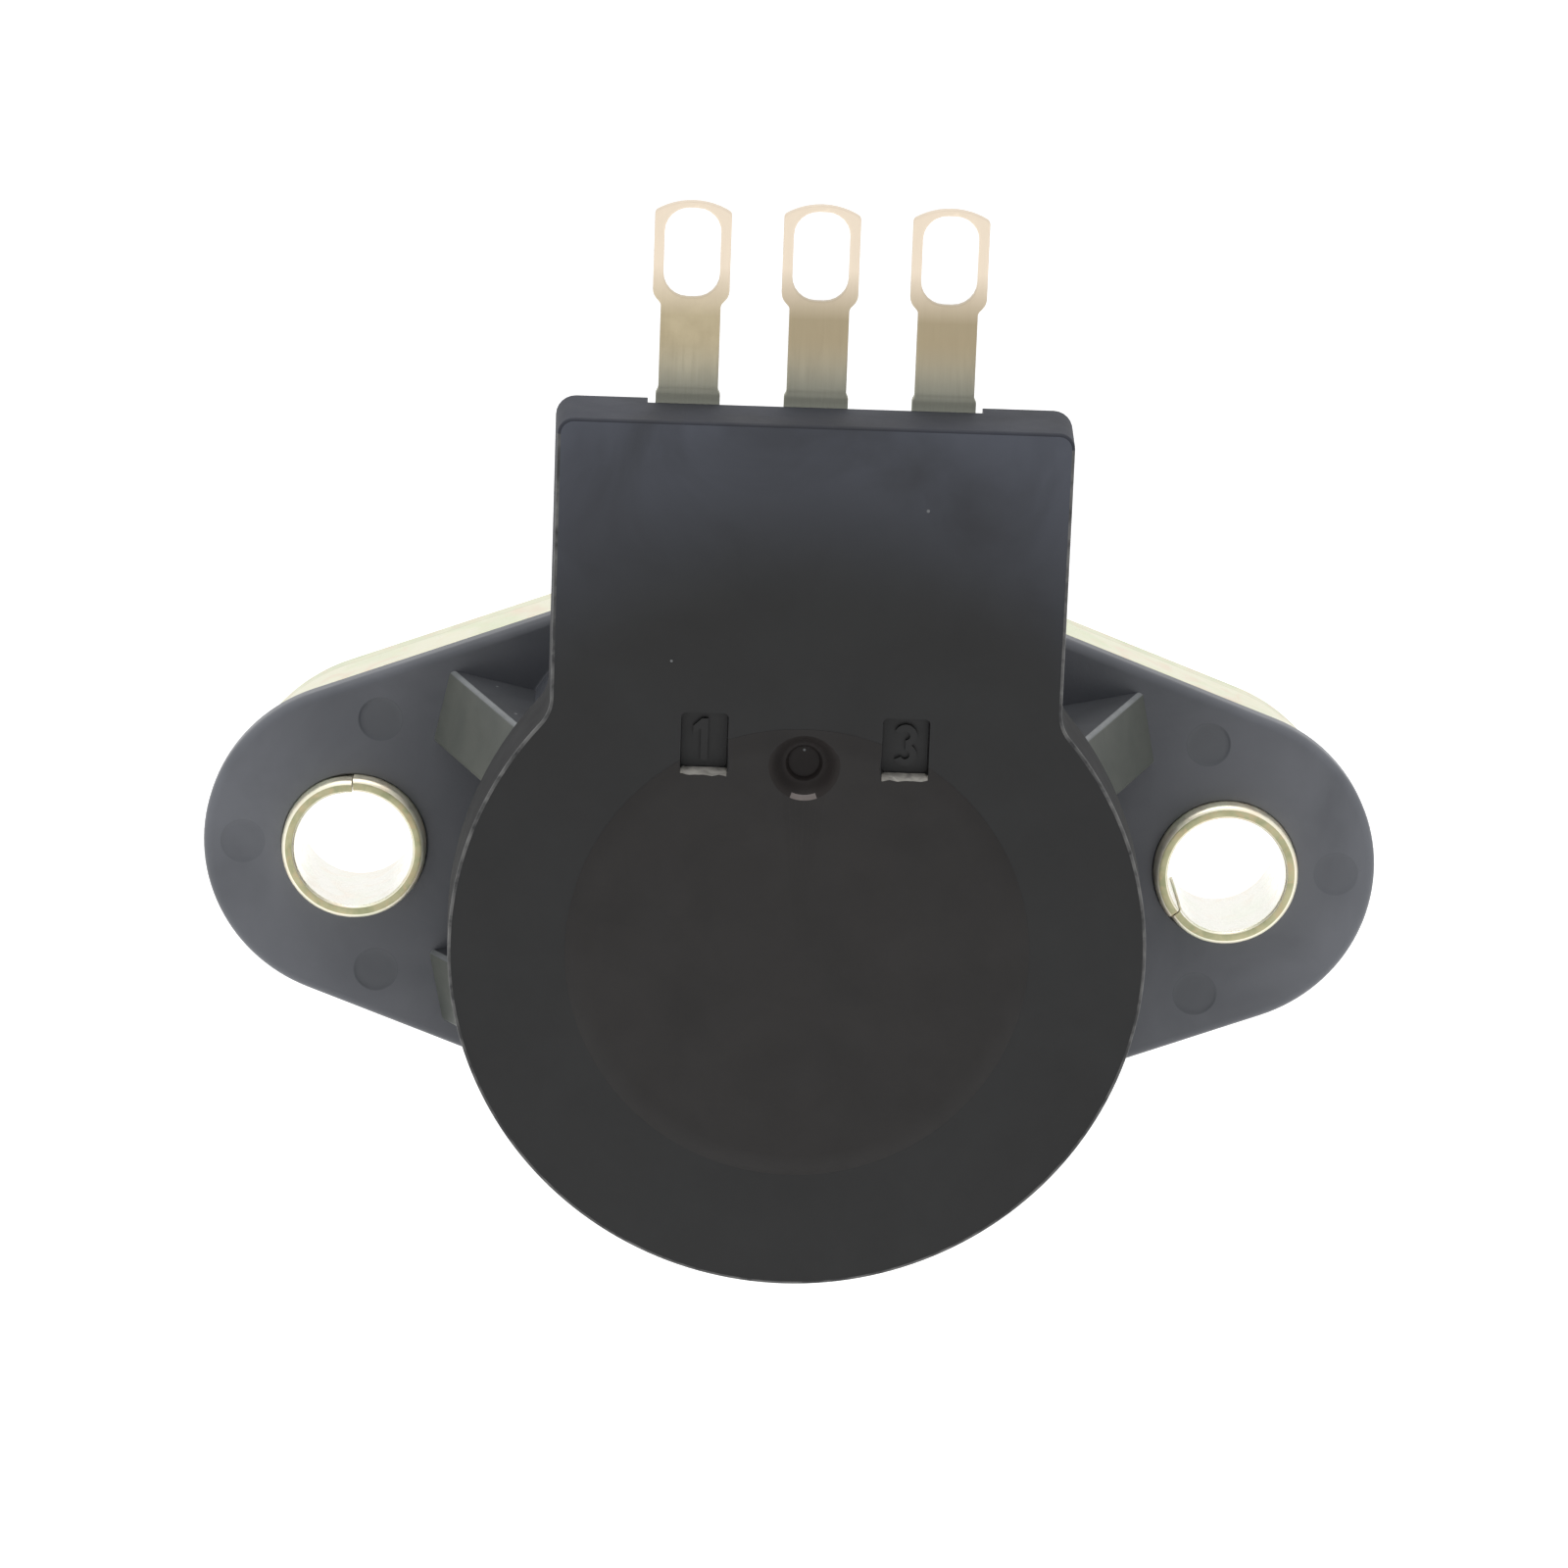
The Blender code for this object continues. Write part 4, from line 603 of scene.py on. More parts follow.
# How the field's shoulder rises from the cover, in (inset, rise)
LABEL_SHOULDER = ((0.0, 0.0125 * MM), (0.12 * MM, 0.075 * MM), (0.32 * MM, 0.1575 * MM),
                  (0.58 * MM, 0.22 * MM), (0.9 * MM, 0.25 * MM))
POCKET_RADIUS = 11.1 * MM
POCKET_FLOOR = -17.72 * MM
RECESS_HALF = 6.655 * MM
RECESS_LOW = 4.75 * MM
RECESS_REAR = -16.22 * MM
RECESS_CORNER = 0.2 * MM
WINDOW_OFFSET = 4.0 * MM
WINDOW_HEIGHT = 8.67 * MM
WINDOW_WIDTH = 1.9 * MM
WINDOW_TALL = 2.4 * MM
WINDOW_FLOOR = -18.72 * MM
WINDOW_CORNER = 0.22 * MM
WINDOW_DRAFT = 0.05 * MM
LEDGE = 0.1 * MM
LEDGE_HALF = 0.92 * MM
LEDGE_WAVER = 0.3
LEDGE_RIPPLE = 2.6
DIMPLE_HEIGHT = 7.87 * MM
DIMPLE_RADIUS = 1.42 * MM
DIMPLE_DEPTH = 0.5 * MM
GATE_RIM_RADIUS = 0.74 * MM
GATE_RADIUS = 0.69 * MM
GATE_FLOOR_RADIUS = 0.61 * MM
GATE_DEPTH = 0.75 * MM
CRESCENT_RADIUS = 1.31 * MM
CRESCENT_HALF_WIDTH = 0.1 * MM
CRESCENT_HALF_LENGTH = 0.5 * MM
FIGURE_REAR = -18.9 * MM
FIGURE_STROKE = 0.28 * MM
FIGURE_BOWL = 0.46 * MM
FIGURE_HALF = 0.85 * MM

# Mineral-filled nylon: dull, a shade darker than the housing, with the same dusty look, and a
# painted bluish glare towards the block's far corners. Its open skin reflects less than solid
# plastic.
cover_nylon = moulded("black_mineral_filled_nylon", "0A0A0B", "111213", 0.46, flow_mm=5.0,
                      grain_mm=0.1, depth_mm=0.0025, ior=1.43, painted_glare="555964",
                      painted_glare_mm=(14.0, 24.8))
# The label field was left finely spark-eroded in the mould: a touch warmer and matter
label_nylon = moulded("spark_textured_nylon", "110E0D", "191615", 0.5, flow_mm=4.0,
                      grain_mm=0.14, depth_mm=0.004, ior=1.42)
# The rear rim's rounding is painted a pale broken line: a painted highlight
painted_highlight_on_nylon = moulded("painted_highlight_on_nylon_rim", "1D1E20", "6A6A69", 0.42, flow_mm=0.9,
                        grain_mm=0.1, depth_mm=0.004)
# The windows' lower lips are smooth and painted pale: a painted highlight where they face the lamp
painted_glint_on_nylon = moulded("painted_glint_on_nylon_lip", "8F8D88", "C2BFB8", 0.24, flow_mm=0.6,
                       grain_mm=0.2, depth_mm=0.001)
# Walls that run along the mould's stroke keep its drawn, matt texture, and a faint painted glare
# towards the block's far corners
drawn_nylon = moulded("matt_drawn_nylon", "111216", "18191D", 0.72, flow_mm=5.0,
                      grain_mm=0.16, depth_mm=0.004, painted_glare="2B2E38", painted_glare_mm=(13.5, 24.5))
# The round wall lies in the mould's deepest part, and its texture is dead matt
deep_nylon = moulded("dead_matt_nylon_wall", "0B0B0D", "101113", 0.78, flow_mm=5.0,
                     grain_mm=0.16, depth_mm=0.004, ior=1.42)
# The dimple's lower rim is painted a dull grey: a fainter painted highlight
painted_dull_highlight_on_nylon = moulded("painted_dull_highlight_on_nylon_rim", "5F5856", "756D6A", 0.4, flow_mm=0.6,
                     grain_mm=0.2, depth_mm=0.001)
# Around the gate the plastic froze first: a dull dark ring with a reddish cast
gate_nylon = moulded("gate_frozen_nylon", "100B0A", "16100E", 0.66, flow_mm=2.0,
                     grain_mm=0.1, depth_mm=0.004, ior=1.4)
COVER_FINISHES = (cover_nylon, label_nylon, painted_highlight_on_nylon, painted_glint_on_nylon, drawn_nylon, gate_nylon,
                  painted_dull_highlight_on_nylon, deep_nylon)


def cover_outline(inset):
    """List the outline of a disc with a square block on top, a shade inside its full size."""
    neck_x = BLOCK_HALF + NECK_FILLET
    neck_z = sqrt((COVER_RADIUS + NECK_FILLET) ** 2 - neck_x ** 2)
    meet = atan2(neck_z, neck_x)
    corner = BLOCK_CORNER - inset
    corner_x = BLOCK_HALF - BLOCK_CORNER
    corner_z = BLOCK_TOP - BLOCK_CORNER
    neck = NECK_FILLET + inset
    points = arc(COVER_RADIUS - inset, pi - meet, TURN + meet, ROUND_STEPS)
    points += arc(neck, pi + meet, pi, SOFT_STEPS, neck_x, neck_z)[1:]
    points += arc(corner, 0.0, RIGHT_ANGLE, SOFT_STEPS, corner_x, corner_z)
    points += arc(corner, RIGHT_ANGLE, pi, SOFT_STEPS, -corner_x, corner_z)
    points += arc(neck, 0.0, -meet, SOFT_STEPS, -neck_x, neck_z)[:-1]
    return points


def soft_rectangle(x, z, half_width, half_height, corner, grow=0.0):
    """List a rectangle with rounded corners, grown evenly on all sides."""
    points = []
    for index, (side, up) in enumerate(((1.0, 1.0), (-1.0, 1.0), (-1.0, -1.0), (1.0, -1.0))):
        start = index * RIGHT_ANGLE
        points += arc(corner + grow, start, start + RIGHT_ANGLE, SOFT_STEPS,
                      x + side * (half_width - corner), z + up * (half_height - corner))
    return points


def ease(share):
    """Turn an even share into one that starts and ends gently."""
    return share * share * (3.0 - 2.0 * share)


cover = make_piece(
    "moulded_rear_cover",
    rounded_plate(cover_outline, COVER_REAR, COVER_FRONT, COVER_ROUND, EDGE_BREAK, COVER_DRAFT),
    *COVER_FINISHES,
)
for face in cover.data.polygons:
    if abs(face.normal.y) < ACROSS:
        on_rim = face.center.y < COVER_REAR + COVER_ROUND
        # The rim's rounding below the block's top takes the painted highlight
        if on_rim and face.center.z < BLOCK_TOP - BLOCK_CORNER:
            wall_finish = painted_highlight_on_nylon
        else:
            wall_finish = drawn_nylon if face.center.z > COVER_RADIUS else deep_nylon
        face.material_index = COVER_FINISHES.index(wall_finish)
work(cover, turning([
    (0.0, COVER_REAR + PAST),
    (LABEL_RADIUS, COVER_REAR + PAST),
    *((LABEL_RADIUS - inset, COVER_REAR - rise) for inset, rise in LABEL_SHOULDER),
    (0.0, LABEL_FACE),
], ROUND_STEPS), "UNION", slot=COVER_FINISHES.index(label_nylon))
work(cover, prism(arc(POCKET_RADIUS, 0.0, TURN, ROUND_STEPS)[:-1],
                  POCKET_FLOOR, COVER_FRONT + PAST))
recess_middle = (RECESS_LOW + BLOCK_TOP + PAST) / 2.0
recess_tall = BLOCK_TOP + PAST - recess_middle
work(cover, stack(
    lambda grow: soft_rectangle(0.0, recess_middle, RECESS_HALF, recess_tall, RECESS_CORNER, grow),
    (
        (RECESS_REAR, 0.0),
        (COVER_FRONT - EDGE_BREAK, 0.0),
        (COVER_FRONT, EDGE_BREAK),
        (COVER_FRONT + PAST, EDGE_BREAK + PAST),
    ),
))
for side in (-1.0, 1.0):
    work(cover, stack(
        lambda grow: soft_rectangle(side * WINDOW_OFFSET, WINDOW_HEIGHT, WINDOW_WIDTH / 2.0,
                                    WINDOW_TALL / 2.0, WINDOW_CORNER, grow),
        (
            (WINDOW_FLOOR, -WINDOW_DRAFT),
            (LABEL_FACE + EDGE_BREAK, 0.0),
            (LABEL_FACE, EDGE_BREAK),
            (LABEL_FACE - PAST, EDGE_BREAK + PAST),
        ),
    ))
    window_low = WINDOW_HEIGHT - WINDOW_TALL / 2.0
    lip = []
    for step in range(SOFT_STEPS + 1):
        x = side * WINDOW_OFFSET + LEDGE_HALF * (2.0 * step / SOFT_STEPS - 1.0)
        wear = LEDGE * (1.0 + LEDGE_WAVER * sin(LEDGE_RIPPLE * step + 2.0 * side))
        lip.append([
            (x, WINDOW_FLOOR - EDGE_BREAK, window_low + WINDOW_DRAFT),
            (x, LABEL_FACE - 2.0 * EDGE_BREAK, window_low - 1.2 * wear),
            (x, LABEL_FACE - 2.0 * EDGE_BREAK, window_low + 2.0 * wear),
        ])
    # The lip's faces take the painted highlight
    work(cover, loft(lip), slot=COVER_FINISHES.index(painted_glint_on_nylon))
bowl = [(0.0, LABEL_FACE - PAST), (DIMPLE_RADIUS, LABEL_FACE - PAST)]
for step in range(RIM_STEPS * 2 + 1):
    share = step / (RIM_STEPS * 2)
    bowl.append((DIMPLE_RADIUS + (GATE_RIM_RADIUS - DIMPLE_RADIUS) * share,
                 LABEL_FACE + DIMPLE_DEPTH * ease(share)))
bowl += [
    (GATE_RADIUS, LABEL_FACE + DIMPLE_DEPTH + EDGE_BREAK),
    (GATE_FLOOR_RADIUS, LABEL_FACE + GATE_DEPTH),
    (0.0, LABEL_FACE + GATE_DEPTH),
]
dimple = turning(bowl, SMALL_STEPS * 2)
# A crescent on the bowl's lower rim takes the dull painted highlight
for face in dimple.faces:
    middle = face.calc_center_median()
    off = abs(hypot(middle.x, middle.z) - CRESCENT_RADIUS)
    low = middle.z < 0.0 and abs(middle.x) < CRESCENT_HALF_LENGTH
    bowl_finish = painted_dull_highlight_on_nylon if low and off < CRESCENT_HALF_WIDTH else gate_nylon
    face.material_index = COVER_FINISHES.index(bowl_finish)
work(cover, dimple, place=(0.0, 0.0, DIMPLE_HEIGHT))

one = [
    (-0.5 * FIGURE_STROKE, -FIGURE_HALF),
    (0.5 * FIGURE_STROKE, -FIGURE_HALF),
    (0.5 * FIGURE_STROKE, FIGURE_HALF),
    (-0.4 * FIGURE_STROKE, FIGURE_HALF),
    (-1.6 * FIGURE_STROKE, FIGURE_HALF - 1.1 * FIGURE_STROKE),
    (-1.6 * FIGURE_STROKE, FIGURE_HALF - 2.3 * FIGURE_STROKE),
    (-0.5 * FIGURE_STROKE, FIGURE_HALF - 1.5 * FIGURE_STROKE),
]
work(cover, prism([(x - WINDOW_OFFSET, z + WINDOW_HEIGHT) for x, z in one],
                  FIGURE_REAR, WINDOW_FLOOR + EDGE_BREAK * 2.0), "UNION")
for up, start, end in ((1.0, -RIGHT_ANGLE, radians(155.0)),
                       (-1.0, radians(-155.0), RIGHT_ANGLE)):
    height = WINDOW_HEIGHT + up * (FIGURE_HALF - FIGURE_BOWL)
    curve = arc(FIGURE_BOWL, start, end, SMALL_STEPS // 2, WINDOW_OFFSET, height)
    curve += arc(FIGURE_BOWL - FIGURE_STROKE, end, start, SMALL_STEPS // 2, WINDOW_OFFSET, height)
    work(cover, prism(curve, FIGURE_REAR, WINDOW_FLOOR + EDGE_BREAK * 2.0), "UNION")
dress(cover, "case", "cover_moulding", "rear_cover")

# Solder lugs: stamped from thin tinned brass strip and riveted to the element inside.
# Each is flat, with a slot-shaped eye for the wire, a narrower shank and a small crank just above
# the block. The punch left the edges a little rounded.
LUG_PITCH = 5.08 * MM
LUG_THICKNESS = 0.45 * MM
LUG_EDGE = 0.06 * MM
LUG_SOFT = 0.12 * MM
BLADE_HALF = 1.275 * MM
SHANK_HALF = 1.185 * MM
HEAD_HALF = 1.515 * MM
LUG_NECK = 22.26 * MM
LUG_SHOULDER = 26.0 * MM
LUG_TOP = 29.75 * MM
LUG_CROWN = 0.43 * MM
SHOULDER_DROP = 0.35 * MM
EYE_HALF = 1.11 * MM
EYE_TOP = 29.48 * MM
EYE_LOW = 25.93 * MM
EYE_CORNER = 0.95 * MM
RIVET_OUTER = 8.704 * MM
RIVET_MIDDLE = 10.15 * MM
RIVET_BORE = 0.52 * MM
LUG_FOOT = -15.32 * MM
LUG_BLADE = -15.72 * MM
LUG_FACE = -15.79 * MM
JOG_LOW = 13.05 * MM
JOG_HIGH = 13.95 * MM
CRANK_LOW = 21.65 * MM
CRANK_HIGH = 22.45 * MM
BEND_STEPS = 6
RIM_ANGLE = radians(60.0)

# Tinned brass strip, rolled bright and gone dull in the air: pale gold-grey with a lengthwise
# grain. The roll's lines are drawn 0.09 mm apart so that they show.
lug_brass, shader, place = begin("tinned_rolled_brass", 0.34, metallic=1.0)
tarnish = add(lug_brass, "TexNoise", {
    "Vector": place, "Scale": 1.0 / (2.2 * MM), "Detail": 5.0, "Roughness": 0.6,
})
tarnish_share = add(lug_brass, "MapRange", {"Value": tarnish, "From Min": 0.35, "From Max": 0.7})
fresh_strip = add(lug_brass, "Mix", {"Factor": tarnish_share, "A": "BAAD90", "B": "A79A7E"})
# The middle and right lugs were handled more, and aged a shade darker
parts = add(lug_brass, "SeparateXYZ", {"Vector": place})
handled = add(lug_brass, "MapRange", {
    "Value": parts.outputs["X"], "From Min": -3.0 * MM, "From Max": -2.0 * MM,
})
strip = add(lug_brass, "Mix", {"Factor": handled, "A": fresh_strip, "B": "A2957B"})
# The roots are painted greyer and made rougher, a painted reflection of the dark block below them,
# and the dipped heads kept more tin
height = parts.outputs["Z"]
above_roots = add(lug_brass, "MapRange", {
    "Value": height, "From Min": 21.4 * MM, "From Max": 24.6 * MM,
}, interpolation_type="SMOOTHSTEP")
painted_reflection_at_roots = add(lug_brass, "Mix", {"Factor": above_roots, "A": "AFB1A5", "B": strip})
dipped = add(lug_brass, "MapRange", {
    "Value": height, "From Min": 25.2 * MM, "From Max": 27.2 * MM, "To Max": 0.95,
})
tinned = add(lug_brass, "Mix", {"Factor": dipped, "A": painted_reflection_at_roots, "B": "E8D9C5"})
lengthwise = add(lug_brass, "Mapping", {"Vector": place, "Scale": (1.0, 1.0, 0.05)})
roll_lines = add(lug_brass, "TexNoise", {
    "Vector": lengthwise, "Scale": 1.0 / (0.09 * MM), "Detail": 3.0,
})
rolled_gloss = add(lug_brass, "MapRange", {
    "Value": roll_lines, "From Min": 0.3, "From Max": 0.7, "To Min": 0.28, "To Max": 0.4,
})
root_dullness = add(lug_brass, "MapRange", {"Value": above_roots, "To Min": 0.3, "To Max": 0.0})
lug_gloss = add(lug_brass, "Math", {0: rolled_gloss, 1: root_dullness}, operation="ADD")
lug_relief = add(lug_brass, "Bump", {"Height": roll_lines, "Distance": 0.0015 * MM})
feed(lug_brass, shader, Base_Color=tinned, Roughness=lug_gloss, Normal=lug_relief)


def soften(corners):
    """List an outline whose corners, (x, z, reach), are rounded off from that reach on."""
    points = []
    for index, (x, z, reach) in enumerate(corners):
        here = Vector((x, z))
        before = (Vector(corners[index - 1][:2]) - here).normalized() * reach
        after = (Vector(corners[(index + 1) % len(corners)][:2]) - here).normalized() * reach
        steps = SOFT_STEPS if reach else 0
        for step in range(steps + 1):
            share = step / max(steps, 1)
            point = here + before * (1.0 - share) ** 2 + after * share ** 2
            points.append((point.x, point.y) if reach else (x, z))
    return points


def lug_outline(foot):
    """List a lug's outline: round foot, blade, narrower shank and crowned head."""
    crown_radius = (HEAD_HALF ** 2 + LUG_CROWN ** 2) / (2.0 * LUG_CROWN)
    spread = asin(HEAD_HALF / crown_radius)
    right = [
        (BLADE_HALF, LUG_NECK - SHOULDER_DROP / 2.0, LUG_SOFT / 2.0),
        (SHANK_HALF, LUG_NECK, LUG_SOFT / 2.0),
        (SHANK_HALF, LUG_SHOULDER - SHOULDER_DROP, LUG_SOFT),
        (HEAD_HALF, LUG_SHOULDER, LUG_SOFT * 2.0),
        (HEAD_HALF, LUG_TOP - LUG_CROWN, LUG_SOFT),
    ]
    crown = arc(crown_radius, RIGHT_ANGLE - spread, RIGHT_ANGLE + spread, SOFT_STEPS * 2,
                0.0, LUG_TOP - crown_radius)[1:-1]
    round_foot = arc(BLADE_HALF, pi, TURN, SOFT_STEPS * 4, 0.0, foot)
    corners = [(x, z, 0.0) for x, z in round_foot] + right
    corners += [(x, z, 0.0) for x, z in crown]
    corners += [(-x, z, reach) for x, z, reach in right[::-1]]
    return soften(corners)


def lug_depth(z):
    """Find how far forward the strip's front face lies at a height, in two smooth steps."""
    depth = LUG_FOOT
    for low, high, step in ((JOG_LOW, JOG_HIGH, LUG_BLADE - LUG_FOOT),
                            (CRANK_LOW, CRANK_HIGH, LUG_FACE - LUG_BLADE)):
        depth += step * ease(min(max((z - low) / (high - low), 0.0), 1.0))
    return depth


for number, (x, foot) in enumerate(
    ((-LUG_PITCH, RIVET_OUTER), (0.0, RIVET_MIDDLE), (LUG_PITCH, RIVET_OUTER)), start=1
):
    lug = make_piece(f"solder_lug_{number}", prism(lug_outline(foot), -LUG_THICKNESS, 0.0),
                     lug_brass)
    eye_middle = (EYE_TOP + EYE_LOW) / 2.0
    eye = soft_rectangle(0.0, eye_middle, EYE_HALF, EYE_TOP - eye_middle, EYE_CORNER)
    work(lug, prism(eye, -LUG_THICKNESS - PAST, PAST))
    bore = arc(RIVET_BORE, 0.0, TURN, SMALL_STEPS // 2, 0.0, foot)[:-1]
    work(lug, prism(bore, -LUG_THICKNESS - PAST, PAST))
    bm = bmesh.new()
    bm.from_mesh(lug.data)
    rims = [edge for edge in bm.edges
            if len(edge.link_faces) == 2 and edge.calc_face_angle() > RIM_ANGLE
            and abs(edge.verts[0].co.y - edge.verts[1].co.y) < 1e-6]
    bmesh.ops.bevel(bm, geom=rims, offset=LUG_EDGE, segments=2, profile=0.5, affect="EDGES")
    for low, high in ((JOG_LOW, JOG_HIGH), (CRANK_LOW, CRANK_HIGH)):
        for step in range(BEND_STEPS + 1):
            height = low + (high - low) * step / BEND_STEPS
            everything = bm.verts[:] + bm.edges[:] + bm.faces[:]
            bmesh.ops.bisect_plane(bm, geom=everything, dist=1e-7, plane_co=(0.0, 0.0, height),
                                   plane_no=(0.0, 0.0, 1.0))
    for vertex in bm.verts:
        vertex.co.y += lug_depth(vertex.co.z)
        vertex.co.x += x
    bm.to_mesh(lug.data)
    bm.free()
    dress(lug, "case", "terminal_brass", f"terminal_{number}")

# Potting bar: resin poured over the lugs' roots from the front, so that the block is tight.
# It wets the walls, so its top climbs at both ends and at each lug, and sags in between.
SEAL_HALF = 6.605 * MM
SEAL_LOW = 14.25 * MM
SEAL_TOP = 20.56 * MM
SEAL_REAR = -15.67 * MM
SEAL_SAG = 0.3 * MM
CLIMB_REACH = 0.35 * MM
SEAL_REAR_ROUND = 0.03 * MM
SEAL_FRONT_ROUND = 0.05 * MM

# Filled epoxy, cast: dark brown-grey and glossy, cloudy inside, with a few bubbles at its skin
potting_epoxy, shader, place = begin("cast_filled_epoxy", 0.3, ior=1.55)
swirl = add(potting_epoxy, "TexNoise", {
    "Vector": place, "Scale": 1.0 / (1.8 * MM), "Detail": 3.0, "Distortion": 1.5,
})
epoxy_body = add(potting_epoxy, "Mix", {"Factor": swirl, "A": "2E2A26", "B": "4A4038"})
bubbles = add(potting_epoxy, "TexVoronoi", {"Vector": place, "Scale": 1.0 / (0.7 * MM)})
pits = add(potting_epoxy, "MapRange", {"Value": bubbles.outputs["Distance"], "From Max": 0.22})
epoxy_relief = add(potting_epoxy, "Bump", {"Height": pits, "Distance": 0.02 * MM})
feed(potting_epoxy, shader, Base_Color=epoxy_body, Normal=epoxy_relief)


def seal_outline(inset):
    """List the bar's outline, whose top sags between the walls and the lugs."""
    half = SEAL_HALF - inset
    points = [(-half, SEAL_LOW + inset), (half, SEAL_LOW + inset)]
    for step in range(SMALL_STEPS + 1):
        x = half * (1.0 - 2.0 * step / SMALL_STEPS)
        climbs = [abs(abs(x) - half)]
        for lug_x in (-LUG_PITCH, 0.0, LUG_PITCH):
            climbs.append(max(abs(x - lug_x) - BLADE_HALF, 0.0))
        sag = SEAL_SAG * (1.0 - exp(-min(climbs) / CLIMB_REACH))
        points.append((x, SEAL_TOP - sag - inset))
    return points


seal = make_piece(
    "cast_potting_bar",
    rounded_plate(seal_outline, SEAL_REAR, COVER_FRONT, SEAL_REAR_ROUND, SEAL_FRONT_ROUND),
    potting_epoxy,
)
dress(seal, "case", "resin", "terminal_seal")

# Bearing bush: turned from brass bar. Its pilot fills the plate's hole and stands out of it, to
# centre the part in its bracket. Its lip is staked behind the housing's front wall.
BUSH_RADIUS = 4.5 * MM
BUSH_HOLE = 3.06 * MM
BUSH_REAR = -6.85 * MM
LIP_RADIUS = 5.2 * MM
LIP_FRONT = -4.9 * MM
LIP_REAR = -5.6 * MM
PILOT_RADIUS = 6.0 * MM
PILOT_FRONT = 1.8 * MM
PILOT_REAR = -3.7 * MM
BUSH_CHAMFER = 0.25 * MM
LIP_CHAMFER = 0.2 * MM
LIP_NOSE = 0.12 * MM
LIP_FOLD = 0.4 * MM


def turned(name, dark, light, roughness, feed_mm, depth_mm):
    """Turned metal: fine rings that the tool left around the axis, and a faint tarnish."""
    material, shader, place = begin(name, roughness, metallic=1.0)
    parts = add(material, "SeparateXYZ", {"Vector": place})
    across = add(material, "VectorMath", {0: place, 1: (1.0, 0.0, 1.0)}, operation="MULTIPLY")
    radius = add(material, "VectorMath", {0: across}, operation="LENGTH")
    around = add(material, "CombineXYZ", {"X": radius, "Y": parts.outputs["Y"]})
    rings = add(material, "TexNoise", {
        "Vector": around, "Scale": 1.0 / (feed_mm * MM), "Detail": 2.0, "Roughness": 0.6,
    })
    tarnish = add(material, "TexNoise", {
        "Vector": place, "Scale": 1.0 / (2.8 * MM), "Detail": 4.0, "Roughness": 0.6,
    })
    share = add(material, "MapRange", {"Value": tarnish, "From Min": 0.35, "From Max": 0.68})
    body = add(material, "Mix", {"Factor": share, "A": light, "B": dark})
    finish(material, shader, body, rings, roughness - 0.06, roughness + 0.1, rings, depth_mm)
    return material


# Free-cutting brass off a sharp tool: warm yellow, with a feed of 0.08 mm drawn 0.12 mm to show
bush_brass = turned("turned_free_cutting_brass", "B8934C", "D6B66A", 0.28,
                    feed_mm=0.12, depth_mm=0.002)

bush = make_piece("turned_bearing_bush", turning([
    (BUSH_HOLE + BUSH_CHAMFER, PILOT_FRONT),
    (PILOT_RADIUS - BUSH_CHAMFER, PILOT_FRONT),
    (PILOT_RADIUS, PILOT_FRONT - BUSH_CHAMFER),
    (PILOT_RADIUS, PILOT_REAR + EDGE_BREAK),
    (PILOT_RADIUS - EDGE_BREAK, PILOT_REAR),
    (BUSH_RADIUS, PILOT_REAR),
    (BUSH_RADIUS, LIP_FRONT),
    (LIP_RADIUS - EDGE_BREAK, LIP_FRONT),
    (LIP_RADIUS, LIP_FRONT - LIP_CHAMFER),
    (LIP_RADIUS - LIP_NOSE, LIP_REAR + LIP_NOSE),
    (LIP_RADIUS - LIP_FOLD, LIP_REAR),
    (BUSH_RADIUS, LIP_REAR),
    (BUSH_RADIUS, BUSH_REAR + EDGE_BREAK),
    (BUSH_RADIUS - EDGE_BREAK, BUSH_REAR),
    (BUSH_HOLE + EDGE_BREAK, BUSH_REAR),
    (BUSH_HOLE, BUSH_REAR + EDGE_BREAK),
    (BUSH_HOLE, PILOT_FRONT - BUSH_CHAMFER),
], ROUND_STEPS), bush_brass)
dress(bush, "case", "bush_brass", "bearing_bush")

# Shaft: ground 6 mm steel bar, with a flat milled for its lever, a groove for the seal and one for
# the snap ring. Two flats on its thinner tail drive the carrier.
SHAFT_RADIUS = 3.0 * MM
SHAFT_FRONT = 14.0 * MM
SHAFT_CHAMFER = 0.4 * MM
FLAT_REAR = 6.0 * MM
FLAT_HEIGHT = 1.8 * MM
SEAL_GROOVE_FRONT = 1.2 * MM
SEAL_GROOVE_REAR = 0.0
SEAL_GROOVE_RADIUS = 1.85 * MM
CLIP_GROOVE_FRONT = -8.05 * MM
CLIP_GROOVE_REAR = -8.75 * MM
CLIP_GROOVE_RADIUS = 2.4 * MM
TAIL_FRONT = -8.825 * MM
TAIL_REAR = -12.55 * MM
TAIL_RADIUS = 2.5 * MM
TAIL_FLAT = 1.9 * MM
CENTRE_RADIUS = 0.55 * MM

# Carbon steel, centreless ground: bright cool grey, with fine rings drawn 0.1 mm apart to show
shaft_steel = turned("ground_carbon_steel", "9B9C9E", "BFC0C2", 0.24,
                     feed_mm=0.1, depth_mm=0.001)

